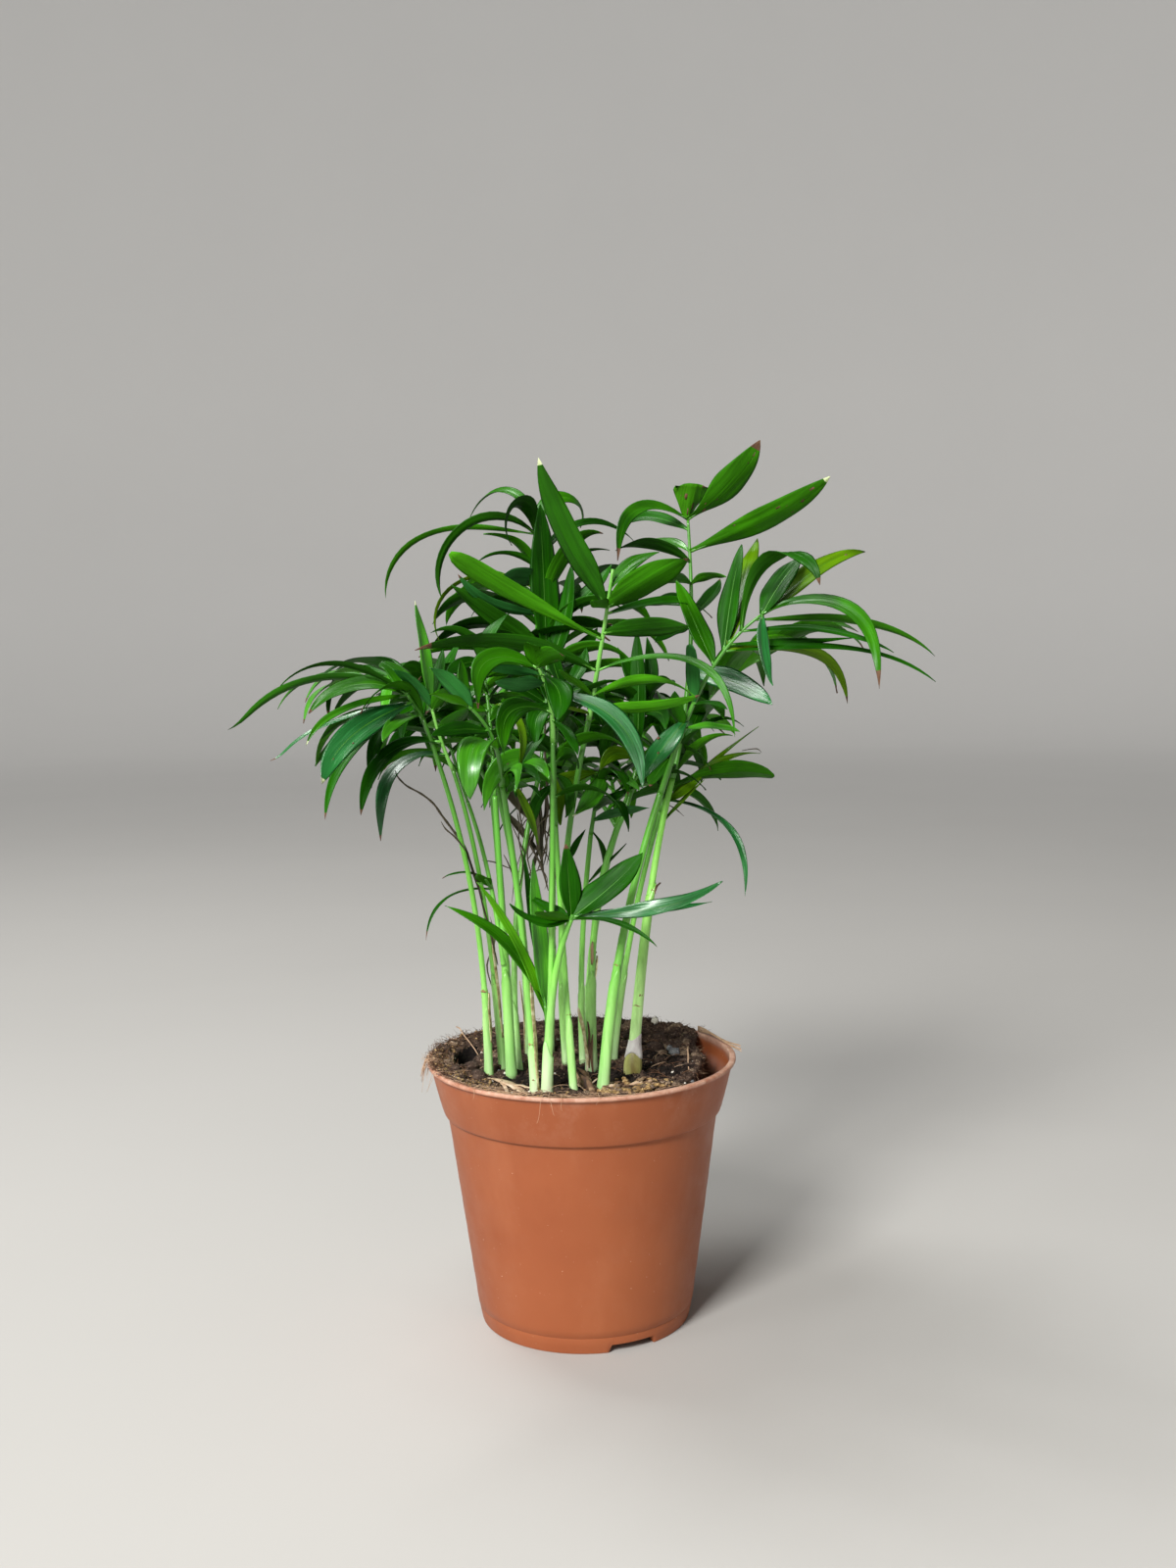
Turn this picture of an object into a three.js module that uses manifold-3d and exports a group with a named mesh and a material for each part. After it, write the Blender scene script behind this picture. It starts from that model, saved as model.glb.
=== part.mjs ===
// Parlour palm in a round nursery pot.
// Millimetres, +Z up. The pot's axis is X = Y = 0 and it stands on Z = 0.
// Every stem, rachis and leaflet is one limb worked out from named sizes by
// limbOf(); the solids are lofted along those limbs and trimmed so that
// neighbours keep a small gap.
import * as THREE from 'three';
import { mergeVertices } from 'three/addons/utils/BufferGeometryUtils.js';
import Module from 'manifold-3d';

const wasm = await Module();
wasm.setup();

// ------------------------------------------------------------------ pot
const POT_HEIGHT = 102.6;      // foot to top of lip
const LIP_R = 60.0;            // outer radius of the rolled lip
const LIP_T = 1.6;             // thickness of the lip
const BAND_TOP_R = 58.6;       // collar band just under the lip
const BAND_LOW_R = 54.1;       // collar band at its lower edge
const BAND_LOW_Z = 82.7;       // height of the collar's lower edge
const BODY_TOP_R = 52.6;       // body just under the collar
const BODY_LOW_R = 42.3;       // body at the ring line above the foot
const RING_Z = 6.5;            // height of the ring line
const FOOT_R = 41.0;           // outer radius of the foot ring
const WALL = 1.3;              // wall thickness
const FLOOR_Z = 3.2;           // underside of the floor inside the foot ring
const FLOOR_T = 1.6;           // floor thickness
const FOOT_W = 2.2;            // width of the foot ring
const PAD_R = 7.0;             // flat centre pad, level with the foot ring
const SEG = 30;                // facets round the pot
const NOTCH_H = 3.0;           // drain notches through the foot ring
const NOTCH_W = 18.0;
const NOTCH_AT = [-65, 55, 175];   // degrees from +X

// ----------------------------------------------------------------- soil
const SOIL_TOP = 100.4;        // height of the soil in the middle
const SOIL_EDGE = 97.6;        // height of the soil at the wall
const GAP = 0.35;              // gap kept between neighbouring solids
const FLAT = 0.12;             // bumps smaller than this are smoothed away

// ---------------------------------------------------------------- blade
const KEEL = 1.0;              // depth of a leaflet's keel at mid length
const RACHIS_D0 = 2.4;         // rachis diameter at the stem
const RACHIS_D1 = 1.4;         // rachis diameter at its end

// Stems: name, foot x, y, z, azimuth, elevation, length, droop, bend power,
// sway, diameter at the foot, diameter at the top. Degrees and millimetres.
const STEMS = [
  ['stem_left', -35.2, -20, 99.5, 263, 87.7, 140.2, 16.9, 1, -76.7, 3.1, 1.8],
  ['stem_left_second', -30.4, -12, 99.4, 249, 82.5, 120.2, 11.3, 2.4, -36.8, 2.8, 1.8],
  ['stem_left_third', -26.5, -22, 99.5, 154, 87.7, 107.4, 0.5, 2.4, 0.7, 4.1, 2.3],
  ['stem_left_third_branch', -28.6, -22.5, 143.2, 126, 78.5, 63.2, 10.5, 1.6, 26.7, 2.2, 1.7],
  ['stem_left_inner', -23.9, -14, 99.1, 111, 73.5, 117.8, 1.7, 1, -71.5, 2.8, 2.1],
  ['stem_front_left', -16.9, -46, 99.9, 197, 88.2, 113.4, 6.1, 1, -8.2, 3.1, 2.2],
  ['stem_front', -12.6, -47.5, 99.9, 299, 85.1, 67.4, 19, 2.4, 41.5, 4.2, 2.4],
  ['stem_front_branch', -11, -49, 128.7, 297, 84.3, 100.6, -0.6, 1, -15.8, 2.2, 1.9],
  ['stem_front_right', -2.7, -47, 99.6, 113, 80.3, 98.5, -1.3, 2.4, -7.4, 2.8, 2.1],
  ['stem_middle', -6, -3, 99.7, 246, 81.2, 137.9, 5.6, 1, 91.7, 3, 2.3],
  ['stem_middle_right', 3.8, -14, 99.4, 101, 84.6, 100.4, 21.7, 2.4, -91.7, 4.4, 2.4],
  ['stem_middle_right_twin', 0.5, -3, 100, 110, 83.4, 89.5, 0.8, 1, -91.7, 2.6, 2.1],
  ['stem_right', 7.7, -42, 99.4, 45, 83.2, 111.8, 13.6, 1, -30.4, 4.2, 2.7],
  ['stem_right_twin', 12.3, -3, 100.1, 42, 81.9, 99.6, 10.5, 1, -23.1, 2.6, 2.3],
  ['stem_far_right', 19, -21, 99.6, 52, 81.4, 113.9, 8.5, 2.4, -26.4, 4.7, 2.6],
  ['stem_back_left', -28.5, 12, 100, 101, 79.4, 120.9, 2, 2.4, 15.4, 3.8, 2.8],
  ['stem_back_middle', -13.3, 14, 100, 79, 75.9, 137.4, -1.1, 1, 11.7, 3.9, 2.8],
  ['stem_back_right', 2.8, 14, 100.5, 92, 71.3, 117.1, 11.5, 1.6, -60.1, 3.9, 2.9],
  ['stem_back_far_right', 9.9, 16, 100.7, 62, 74.4, 114.8, 8.6, 1, -29.6, 3.9, 2.8],
  ['stem_back_far_left', -20.5, 6, 99.8, 94, 80.4, 139.8, 16.3, 2.4, 66.4, 3.4, 2.8],
];

// Fronds: name, stem, place on the stem (0 foot to 1 top), azimuth, elevation,
// length, droop, bend power, sway of the rachis, then its leaflets: place on
// the rachis, azimuth, elevation, length, droop, bend power, sway, width, roll.
const FRONDS = [
  ['frond_middle', 'stem_middle', 1, 310.4, 73.5, 56.5, -0.9, 1, -6.6, [
    [0.75, 187, 59, 58.8, -18, 2.4, 31, 10.9, 38],
    [0.54, 198, 26, 67.7, -2, 2.4, 24, 8.9, 42],
    [0.33, 205, 27, 76.4, 41, 1, 16, 7.3, 48],
    [0.17, 231, 27, 25.8, 9, 1, 17, 3.9, 15],
    [0.04, 237, 13, 27.2, 20, 1.6, 12, 2.8, 21],
    [0.75, 324, 29, 42.2, 14, 1, -17, 12.3, -37],
    [0.88, 21, 60, 24, 52, 1, -3, 6.3, 41],
    [0.75, 247, 9, 14.5, 0, 1.6, 0, 6.2, 29],
    [0.58, 316, 6, 49.2, 8, 1, -20, 8.8, -51],
    [0.33, 343, 23, 87.5, 77, 1, -76, 3.5, 34],
    [0.17, 318, 21, 62.7, 41, 1, -28, 4.6, -46],
    [0.08, 325, -2, 54.7, -15, 1, -23, 5.4, -50],
    [0.71, 9, 16, 44.6, 64, 2.4, 23, 4, 45],
  ]],
  ['frond_front', 'stem_front_branch', 1, 277.2, 64.2, 30.6, 14.5, 2.4, -46, [
    [0.96, 195, 36, 45.3, 108, 1, 92, 8, -44],
    [1, 301, 26, 19.1, 38, 1.6, -2, 9.4, -29],
    [1, 266, 44, 14.9, 25, 1.6, -18, 8.7, -13],
    [0.88, 206, 11, 25.8, 13, 1.6, 14, 4.4, 45],
    [0.75, 228, -2, 28.6, -11, 1, 17, 6.6, 51],
    [0.38, 196, 29, 37.3, 104, 1, 92, 8.5, -34],
    [0.62, 349, -4, 58.4, 58, 1, -77, 7.7, 28],
    [0.29, 313, -25, 23.3, 8, 1, -35, 4.5, 3],
    [0.88, 332, -22, 22.8, 41, 1, -92, 9.8, -1],
  ]],
  ['frond_front_left', 'stem_front_left', 1, 269.6, 70.1, 35.9, 32.6, 1.6, -67.4, [
    [0.42, 235, 39, 36.6, 153, 1, 40, 10.8, -8],
    [0.08, 315, 41, 29.5, 94, 1, -66, 4.6, 39],
    [0.12, 320, 18, 28.3, 56, 1.6, -36, 4.2, 45],
    [0.62, 227, 10, 32.6, 20, 1, 20, 6, -50],
    [0.96, 227, 21, 21.1, 19, 1.6, 14, 4.1, 32],
    [0.92, 211, 51, 22.2, 22, 1.6, 6, 7.5, 34],
    [1, 134, 77, 15.7, -10, 1, -8, 5.3, 4],
  ]],
  ['frond_front_left_small', 'stem_front_left', 0.958, 35.5, 56.4, 12.2, -1.9, 2.4, 1.8, [
    [0.54, 359, -59, 24.1, 19, 1, -1, 3.9, 41],
    [1, 197, 100, 29.5, 114, 2.4, -43, 3.9, -42],
    [0.92, 320, 38, 23.2, 84, 1, -35, 5.4, 47],
    [1, 42, 59, 17.5, 28, 1, -2, 5.4, 17],
  ]],
  ['frond_left', 'stem_left', 1, 248.1, 40, 14.2, 2.3, 1, -1.5, [
    [1, 196, 37, 50.2, 84, 1.6, 14, 3.1, 39],
    [1, 178, 30, 73.7, 85, 1, -8, 3.9, 46],
    [1, 181, 34, 39.1, 88, 1, 11, 6.6, -52],
    [1, 128, 71, 18.1, 59, 1, 25, 8.6, -15],
    [1, 206, -7, 51.7, 37, 2.4, 50, 3.5, -33],
    [0.71, 185, -10, 56.5, 46, 2.4, 28, 2.8, -26],
    [0.67, 221, -14, 63.8, 17, 1, 48, 10.6, -29],
    [0.33, 199, -17, 62.8, 35, 1, 75, 4.3, -19],
    [0, 248, 66, 44.4, 122, 1, -15, 5.4, 33],
    [0.17, 241, -1, 37.1, 22, 1, 28, 5.4, -24],
    [0.17, 188, -2, 38.1, 93, 1, 92, 5.5, -20],
  ]],
  ['frond_left_lower', 'stem_left_second', 1, 221.9, 62.2, 25.4, -9, 1, 16.5, [
    [0.46, 205, 12, 50.8, 85, 1, 53, 6.2, -29],
    [0.25, 190, 13, 50.4, 111, 1, 92, 5.5, -21],
    [1, 160, 84, 39.2, 6, 1.6, 0, 5.5, -25],
    [1, 233, 51, 24.9, 30, 1, 1, 5.4, 18],
    [0.96, 304, 38, 22.5, 37, 1.6, 3, 6.2, -15],
    [0.67, 319, 17, 22.6, -9, 1, -23, 6.2, -29],
    [1, 72, 59, 26.7, 13, 1, 13, 5.9, -16],
  ]],
  ['frond_left_inner', 'stem_left_third_branch', 1, 122.9, 54.7, 46.1, -5, 1, -9.2, [
    [0.83, 194, -9, 35.1, 54, 1, 53, 6.6, -34],
    [1, 231, 56, 24.6, 67, 1, -4, 5.8, 29],
    [1, 62, 73, 25.4, 28, 1, -19, 7.2, 9],
    [0.58, 356, 48, 17.1, 124, 1, -1, 6.2, 49],
    [0.79, 26, 47, 23.9, 49, 2.4, 0, 6.7, 38],
    [0.96, 122, 54, 22.6, 15, 1.6, -4, 6.3, 7],
  ]],
  ['frond_left_middle', 'stem_left_third', 1, 98.6, 76.4, 51.5, 3.1, 2.4, 22.5, [
    [0.88, 248, 100, 33.3, 122, 1, -85, 6.1, 30],
    [1, 237, 4, 29.2, 29, 1, 18, 6, -38],
    [0.62, 210, 18, 27.4, 46, 1, 22, 6.4, -49],
    [0.54, 322, 38, 26.7, 60, 1.6, -8, 6.4, -35],
    [0.88, 330, 32, 25.1, 61, 1, -15, 6.5, -49],
    [1, 71, 73, 25, 48, 1, -37, 6.6, 8],
    [0.33, 325, 39, 21.3, 95, 1.6, -26, 6, -40],
  ]],
  ['frond_top_left', 'stem_left_inner', 1, 57.4, 73.5, 99.4, -3, 1, 70.2, [
    [1, 178, 9, 81.5, 106, 2.4, -28, 3.5, 38],
    [1, 210, 43, 65, 154, 1, -46, 4.8, 47],
    [1, 129, 85, 56.2, 154, 1, 16, 4.4, -35],
    [1, 255, 98, 42.2, 231, 1, -40, 7.4, 44],
    [1, 5, 80, 39.7, 210, 1.6, 40, 7, 49],
    [0.88, 24, 69, 54.9, 116, 1, 7, 4.4, 42],
    [0.5, 115, 88, 59.7, 3, 1, 3, 13.9, 7],
    [0.42, 5, 66, 44.9, -20, 1, 12, 8.6, 47],
    [0.5, 191, 34, 47.5, -5, 2.4, 10, 9.5, 49],
    [0.79, 240, 13, 37.3, 36, 1, -4, 9.4, 55],
    [0.83, 198, 56, 29.8, 92, 1, -1, 3.4, 36],
    [0.67, 196, -4, 43.8, -50, 1, 34, 5.6, 41],
    [0.75, 182, 31, 66.6, 157, 1.6, -17, 2.8, 31],
    [0.71, 332, 67, 43.8, 88, 2.4, -10, 7.8, -24],
    [0.62, 3, 28, 36.6, -33, 1.6, 5, 7.8, 53],
    [0.42, 25, 21, 33.3, -25, 1, 32, 7.8, 32],
    [0.29, 173, 35, 25.4, 25, 1.6, -2, 6.9, -47],
  ]],
  ['frond_low_front', 'stem_front', 1, 320.5, 51.8, 1.9, 0, 1, 0, [
    [0.21, 124, 86, 26.4, 4, 1, 0, 9.2, 1],
    [0.33, 11, 35, 34.9, -13, 2.4, 14, 11.5, 40],
    [0.62, 351, 5, 56.9, -33, 2.4, -15, 7.6, 47],
    [0.83, 11, 0, 52.8, -7, 2.4, 11, 3.9, 36],
    [0, 329, 9, 42.7, 31, 1, -29, 2.8, 21],
    [0, 222, 10, 20.8, -10, 1, 20, 4.6, 47],
    [0, 209, -14, 26.2, -64, 1, -4, 4.6, -44],
    [0, 149, 19, 21, 2, 1, -15, 4.7, -25],
  ]],
  ['frond_top_right', 'stem_far_right', 1, 24.9, 74.8, 100.5, -7.9, 1, 88.2, [
    [1, 345, 32, 41.4, -22, 1, -26, 13, -40],
    [0.88, 342, 19, 63.9, -13, 2.4, -28, 11.6, -45],
    [1, 300, 75, 13.3, 9, 1, -2, 14.7, -3],
    [1, 206, 29, 58.1, 98, 1, 60, 5.7, -43],
    [0.96, 155, 28, 34.7, 63, 1.6, -19, 5.5, -49],
    [0.83, 211, 33, 40.8, 56, 1, 20, 5.8, 38],
    [0.88, 121, 26, 27.9, 24, 1, -6, 4.2, -29],
    [0.75, 243, 12, 37.8, 32, 1, 10, 4.9, 47],
    [0.75, 300, 18, 27.4, 30, 1, -10, 4.5, -34],
    [0.67, 131, 20, 33, 41, 1, -14, 6.3, -51],
    [0.62, 58, 22, 39.9, -2, 1, 19, 6.3, 7],
    [0.42, 329, -8, 42.9, 18, 1, -29, 10.2, 44],
    [0.58, 208, 3, 19.8, 40, 1, 22, 6.6, -42],
  ]],
  ['frond_right', 'stem_right', 1, 345.4, 70.9, 75.7, 37.6, 2.4, 9, [
    [0.67, 144, 64, 36, 6, 1, -14, 8.7, -22],
    [0.75, 69, 67, 45.3, 16, 1.6, -5, 8.7, -14],
    [0.79, 69, 48, 59.7, 13, 1.6, 2, 9.7, -12],
    [0.88, 308, 83, 58.6, 166, 1.6, 8, 8.9, -23],
    [1, 25, 59, 27.9, 17, 1, 4, 9.5, 30],
    [1, 25, 37, 54.4, 39, 2.4, 10, 8.4, 36],
    [1, 355, 30, 70.2, 113, 1, -92, 5.8, 42],
    [0.88, 350, 5, 56.2, 36, 1.6, -16, 3.5, 44],
    [0.79, 1, 0, 44.7, -4, 1, 1, 3.6, 45],
    [0.75, 357, 4, 78.3, 45, 2.4, -8, 3.2, 43],
    [0.96, 6, 1, 73.5, 43, 2.4, 14, 4, -44],
    [0.75, 9, 5, 66.5, 89, 2.4, 43, 5.2, -46],
    [1, 260, -52, 39.2, -25, 1, 20, 5.4, -32],
    [0.46, 264, 61, 28, 20, 1, 0, 6.2, -35],
    [0.46, 295, 8, 33.1, 19, 1, -16, 2.8, 33],
    [0.38, 230, -30, 37.9, -1, 2.4, 16, 9.3, -12],
    [0.33, 306, 7, 38.3, 13, 1, -18, 3.5, 42],
    [0.33, 222, 55, 16.5, -5, 1, 50, 6.3, -8],
  ]],
  ['frond_right_lower', 'stem_right_twin', 1, 29, 78.2, 29.3, 22, 1, -13.8, [
    [0.12, 285, 70, 41.9, 43, 1, 32, 7.9, -5],
    [0.38, 353, 56, 35.2, 71, 2.4, -19, 4.6, -43],
    [0.96, 18, 49, 29.8, 93, 1.6, 0, 2.9, 28],
    [0.08, 21, 35, 54.8, 9, 2.4, 14, 2.9, 19],
    [0.04, 2, 43, 46.2, 52, 2.4, 2, 4.2, 40],
    [0.29, 326, 26, 53.5, 34, 1, -15, 8.7, -53],
    [0.17, 336, -3, 70.5, 48, 1, -81, 3.3, 8],
    [0.71, 127, 50, 31.1, 6, 1.6, -32, 6.8, 5],
    [1, 51, 50, 29.7, 9, 1, 19, 7.2, -2],
    [1, 238, -20, 47.2, -7, 1, 22, 9.9, -10],
  ]],
  ['frond_middle_right', 'stem_middle_right', 1, 43.8, 62.2, 46.7, -10.1, 1, 40.8, [
    [0.46, 67, 82, 53.1, 4, 2.4, 32, 8.4, -27],
    [0.79, 32, 64, 37.3, -5, 1, 92, 6.8, -18],
    [1, 304, 34, 29.6, 73, 2.4, -15, 6.2, -19],
    [0.96, 219, 40, 26.7, 81, 1.6, 14, 6.2, 35],
    [0.46, 219, 44, 25.6, 95, 1, 23, 6.6, -52],
    [0.79, 346, 14, 20.3, 95, 2.4, -58, 5.8, 50],
    [0.33, 313, 32, 23.1, 72, 1, -39, 4.9, 44],
    [0.96, 146, 67, 25.7, 10, 2.4, -4, 6.3, -21],
    [0.88, 297, 15, 40.2, 42, 1, -32, 6.6, 35],
  ]],
  ['frond_middle_low', 'stem_middle_right_twin', 1, 32.9, 78.5, 41, -2, 2.4, -1.5, [
    [0.58, 212, 6, 48.2, 52, 1, 77, 9.4, -20],
    [0.58, 266, -26, 45.4, -21, 1, -20, 9.4, 5],
    [0.58, 302, 2, 39.4, 15, 1, -21, 4.1, 27],
    [0.12, 315, 20, 34.7, 15, 1, -12, 4.9, -43],
    [0.21, 12, 45, 17.1, 32, 1, 2, 4.6, 37],
    [0.83, 240, 22, 32.9, 40, 1, 12, 6.6, 50],
    [1, 294, 44, 24.1, 83, 1.6, -4, 6.2, -13],
    [1, 138, 59, 22.6, 18, 1, -3, 6.7, -16],
    [0.92, 31, 47, 24.6, 73, 1, 5, 6.7, 39],
    [0.04, 15, -52, 21.3, 29, 1, 83, 2.9, 3],
  ]],
  ['frond_middle_inner', 'stem_front_right', 1, 102.6, 77, 50.4, 7.5, 2.4, -52.8, [
    [0.83, 152, 54, 20.2, -15, 2.4, -46, 6.4, -8],
    [0.96, 35, 40, 25.2, -11, 1, 47, 6.5, 8],
    [0.5, 193, 63, 15.5, 174, 2.4, 19, 5.9, 41],
    [0.46, 349, 49, 16.8, 160, 1.6, -68, 5.9, -49],
    [0.29, 184, -30, 20.3, 69, 1, 13, 5.5, -42],
    [0.38, 18, -34, 18.5, 86, 1, -17, 5.6, -43],
    [1, 118, 49, 28.9, 9, 1, -25, 6.9, 14],
    [0.96, 1, 31, 18.5, 99, 1.6, 1, 6, 50],
    [0.38, 211, 44, 47.7, 118, 1, 42, 8.2, -44],
    [0.88, 214, 9, 26.5, 82, 1, 70, 8.7, -14],
  ]],
  ['frond_low_left', 'stem_left_third_branch', 0.458, 252.9, 38, 8.2, 0, 1, 0, [
    [0.21, 236, 32, 11.6, 2, 2.4, 19, 5.6, 18],
    [0, 206, 11, 44.6, 59, 1, 63, 2.8, -6],
    [0.62, 205, 45, 19.6, 72, 1, 4, 2.8, -29],
  ]],
  ['frond_low_spears', 'stem_front', 0.333, 172.5, 83.2, 11.9, -1.9, 1.6, -0.1, [
    [1, 167, 71, 52.8, 54, 1, 3, 5.9, -34],
    [0.54, 182, 77, 56.4, 25, 1, 0, 4.7, -44],
    [0.92, 123, 82, 53.5, 5, 1, -19, 7.4, 14],
    [1, 130, 78, 55.3, 8, 1, -23, 4.3, 14],
  ]],
];

// Fronds of the far side, whose leaflets follow a rule: name, stem, place on
// the stem, azimuth, elevation, length, droop, bend power, sway, pairs of
// leaflets, leaflet length, seed.
const RULED = [
  ['frond_back_01', 'stem_back_left', 1, 132, 25, 58, 43, 1.6, 11, 5, 60, 5130],
  ['frond_back_02', 'stem_back_left', 0.875, 193, 64, 40, 35, 1.6, 9, 5, 57, 331],
  ['frond_back_03', 'stem_back_left', 1, 88, 46, 46, 40, 1.6, -1, 5, 77, 4298],
  ['frond_back_04', 'stem_back_middle', 1, 96, 61, 67, 32, 1.6, 4, 5, 62, 3576],
  ['frond_back_05', 'stem_back_middle', 0.792, 100, 49, 59, 50, 1.6, 11, 4, 59, 9695],
  ['frond_back_06', 'stem_back_middle', 0.875, 49, 33, 44, 48, 1.6, -1, 5, 68, 8051],
  ['frond_back_07', 'stem_back_right', 0.792, 94, 48, 47, 61, 1.6, 0, 5, 58, 8717],
  ['frond_back_08', 'stem_back_right', 0.792, 130, 47, 43, 48, 1.6, 5, 4, 48, 9613],
  ['frond_back_09', 'stem_back_far_right', 1, 6, 67, 65, 47, 1.6, -7, 5, 68, 8605],
  ['frond_back_10', 'stem_back_far_right', 1, 122, 46, 54, 28, 1.6, 11, 5, 52, 2809],
  ['frond_back_11', 'stem_back_far_left', 1, 185, 39, 47, 50, 1.6, 15, 5, 54, 1032],
  ['frond_back_12', 'stem_back_far_left', 1, 50, 55, 48, 38, 1.6, -13, 4, 50, 5463],
];

// ------------------------------------------------------------ functions
const rad = (d) => d * Math.PI / 180;

// A limb that starts at p, leaves at (az, el) degrees and bends by
// droop * s^k and sway * s over its length.
function limbOf(p, az, el, len, droop, k, sway, n = 24) {
  const limb = { az: rad(az), el: rad(el), droop: rad(droop), k, sway: rad(sway), pts: [p.clone()] };
  for (let i = 0; i < n; i++) {
    const { T } = directions(limb, (i + 0.5) / n);
    limb.pts.push(limb.pts[i].clone().addScaledVector(T, len / n));
  }
  return limb;
}

// forward, upward and sideways directions of a limb at s
function directions(limb, s) {
  const e = limb.el - limb.droop * Math.pow(s, limb.k);
  const a = limb.az + limb.sway * s;
  return {
    T: new THREE.Vector3(Math.cos(e) * Math.cos(a), Math.cos(e) * Math.sin(a), Math.sin(e)),
    N: new THREE.Vector3(-Math.sin(e) * Math.cos(a), -Math.sin(e) * Math.sin(a), Math.cos(e)),
    B: new THREE.Vector3(-Math.sin(a), Math.cos(a), 0),
  };
}

function frameAt(limb, s, roll = 0) {
  const n = limb.pts.length - 1;
  const x = s * n, i = Math.min(Math.floor(x), n - 1);
  const P = limb.pts[i].clone().lerp(limb.pts[i + 1], x - i);
  const { T, N, B } = directions(limb, s);
  const c = Math.cos(roll), q = Math.sin(roll);
  return { P, T,
    B: B.clone().multiplyScalar(c).addScaledVector(N, q),
    N: N.clone().multiplyScalar(c).addScaledVector(B, -q) };
}

// Closed solid through a list of rings with the same number of points; a
// ring of one point is a tip.
function loft(rings) {
  const pos = [], idx = [], start = [];
  for (const r of rings) {
    start.push(pos.length / 3);
    for (const v of r) pos.push(v.x, v.y, v.z);
  }
  const m = rings[0].length;
  for (let i = 1; i < m - 1; i++) idx.push(0, i + 1, i);
  for (let j = 0; j + 1 < rings.length; j++) {
    const a = start[j], b = start[j + 1], tip = rings[j + 1].length === 1;
    for (let i = 0; i < m; i++) {
      const i2 = (i + 1) % m;
      if (tip) idx.push(a + i, a + i2, b);
      else idx.push(a + i, a + i2, b + i2, a + i, b + i2, b + i);
    }
  }
  if (rings[rings.length - 1].length > 1) {
    const a = start[rings.length - 1];
    for (let i = 1; i < m - 1; i++) idx.push(a, a + i, a + i + 1);
  }
  return solidOf(pos, idx);
}

function solidOf(pos, idx) {
  // turn the faces out if the signed volume is negative
  let vol = 0;
  for (let t = 0; t < idx.length; t += 3) {
    const [a, b, c] = [idx[t] * 3, idx[t + 1] * 3, idx[t + 2] * 3];
    vol += pos[a] * (pos[b + 1] * pos[c + 2] - pos[b + 2] * pos[c + 1])
         - pos[a + 1] * (pos[b] * pos[c + 2] - pos[b + 2] * pos[c])
         + pos[a + 2] * (pos[b] * pos[c + 1] - pos[b + 1] * pos[c]);
  }
  if (vol < 0) for (let t = 0; t < idx.length; t += 3) [idx[t + 1], idx[t + 2]] = [idx[t + 2], idx[t + 1]];
  return new wasm.Manifold(new wasm.Mesh({
    numProp: 3, vertProperties: new Float32Array(pos), triVerts: new Uint32Array(idx) }));
}

function solidOfGeometry(geometry) {
  geometry.deleteAttribute('normal');
  geometry.deleteAttribute('uv');
  const g = mergeVertices(geometry, 1e-4);
  return new wasm.Manifold(new wasm.Mesh({
    numProp: 3, vertProperties: new Float32Array(g.attributes.position.array),
    triVerts: new Uint32Array(g.index.array) }));
}

function geometryOf(solid) {
  const m = solid.getMesh();
  const g = new THREE.BufferGeometry();
  g.setAttribute('position', new THREE.BufferAttribute(new Float32Array(m.vertProperties), 3));
  g.setIndex(new THREE.BufferAttribute(new Uint32Array(m.triVerts), 1));
  g.computeVertexNormals();
  return g;
}

function near(a, b) {
  const p = a.boundingBox(), q = b.boundingBox();
  return [0, 1, 2].every((i) => p.min[i] <= q.max[i] && q.min[i] <= p.max[i]);
}

// true if no two corners of a solid are in one place
function distinct(solid) {
  const v = solid.getMesh().vertProperties, seen = new Set();
  for (let i = 0; i < v.length; i += 3) seen.add([0, 1, 2].map((k) => Math.round(v[i + k] * 500)).join());
  return seen.size === v.length / 3;
}

// the biggest body of a solid that trimming has cut into several
function largest(solid) {
  const biggest = (s) => s.decompose().reduce((a, b) => (b.volume() > a.volume() ? b : a));
  const body = biggest(solid).asOriginal();
  for (const part of [1, 0.8, 1.25, 0.6, 1.5, 0.4]) {
    const smooth = biggest(body.simplify(FLAT * part));
    if (distinct(smooth)) return smooth;
  }
  return biggest(body.simplify(FLAT));
}

// round tapering limb; grow makes it fatter, for trimming its neighbours
function tubeSolid(pts, d0, d1, stations, sides, grow = 0, foot = null) {
  const rings = [];
  for (let j = 0; j <= stations; j++) {
    const s = j / stations;
    const f = frameAt(pts, s);
    const r = (d0 + (d1 - d0) * Math.pow(s, 0.8)) / 2 + grow / Math.cos(Math.PI / sides);
    const ring = [];
    let { B, N } = f;
    const P = f.P.clone();
    if (j === 0 && foot === null) P.addScaledVector(f.T, -grow);
    if (j === stations) P.addScaledVector(f.T, grow);
    if (j === 0 && foot !== null) {
      B = new THREE.Vector3(1, 0, 0);
      N = new THREE.Vector3(0, 1, 0);
      P.z = foot - grow;
    }
    for (let i = 0; i < sides; i++) {
      const a = 2 * Math.PI * (i + 0.5) / sides;
      const rr = r * (j === 0 && foot !== null ? 1.12 : 1);
      ring.push(P.clone().addScaledVector(B, Math.cos(a) * rr).addScaledVector(N, Math.sin(a) * rr));
    }
    rings.push(ring);
  }
  return loft(alignRings(rings));
}

// turn each ring so that its start is nearest to the last ring's start
function alignRings(rings) {
  for (let j = 1; j < rings.length; j++) {
    const a = rings[j - 1], b = rings[j];
    if (a.length !== b.length) continue;
    const cost = (k) => a.reduce((d, v, i) => d + v.distanceTo(b[(i + k) % b.length]), 0);
    let best = 0;
    for (let k = 1; k < b.length; k++) if (cost(k) < cost(best)) best = k;
    rings[j] = b.map((_, i) => b[(i + best) % b.length]);
  }
  return rings;
}

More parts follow.
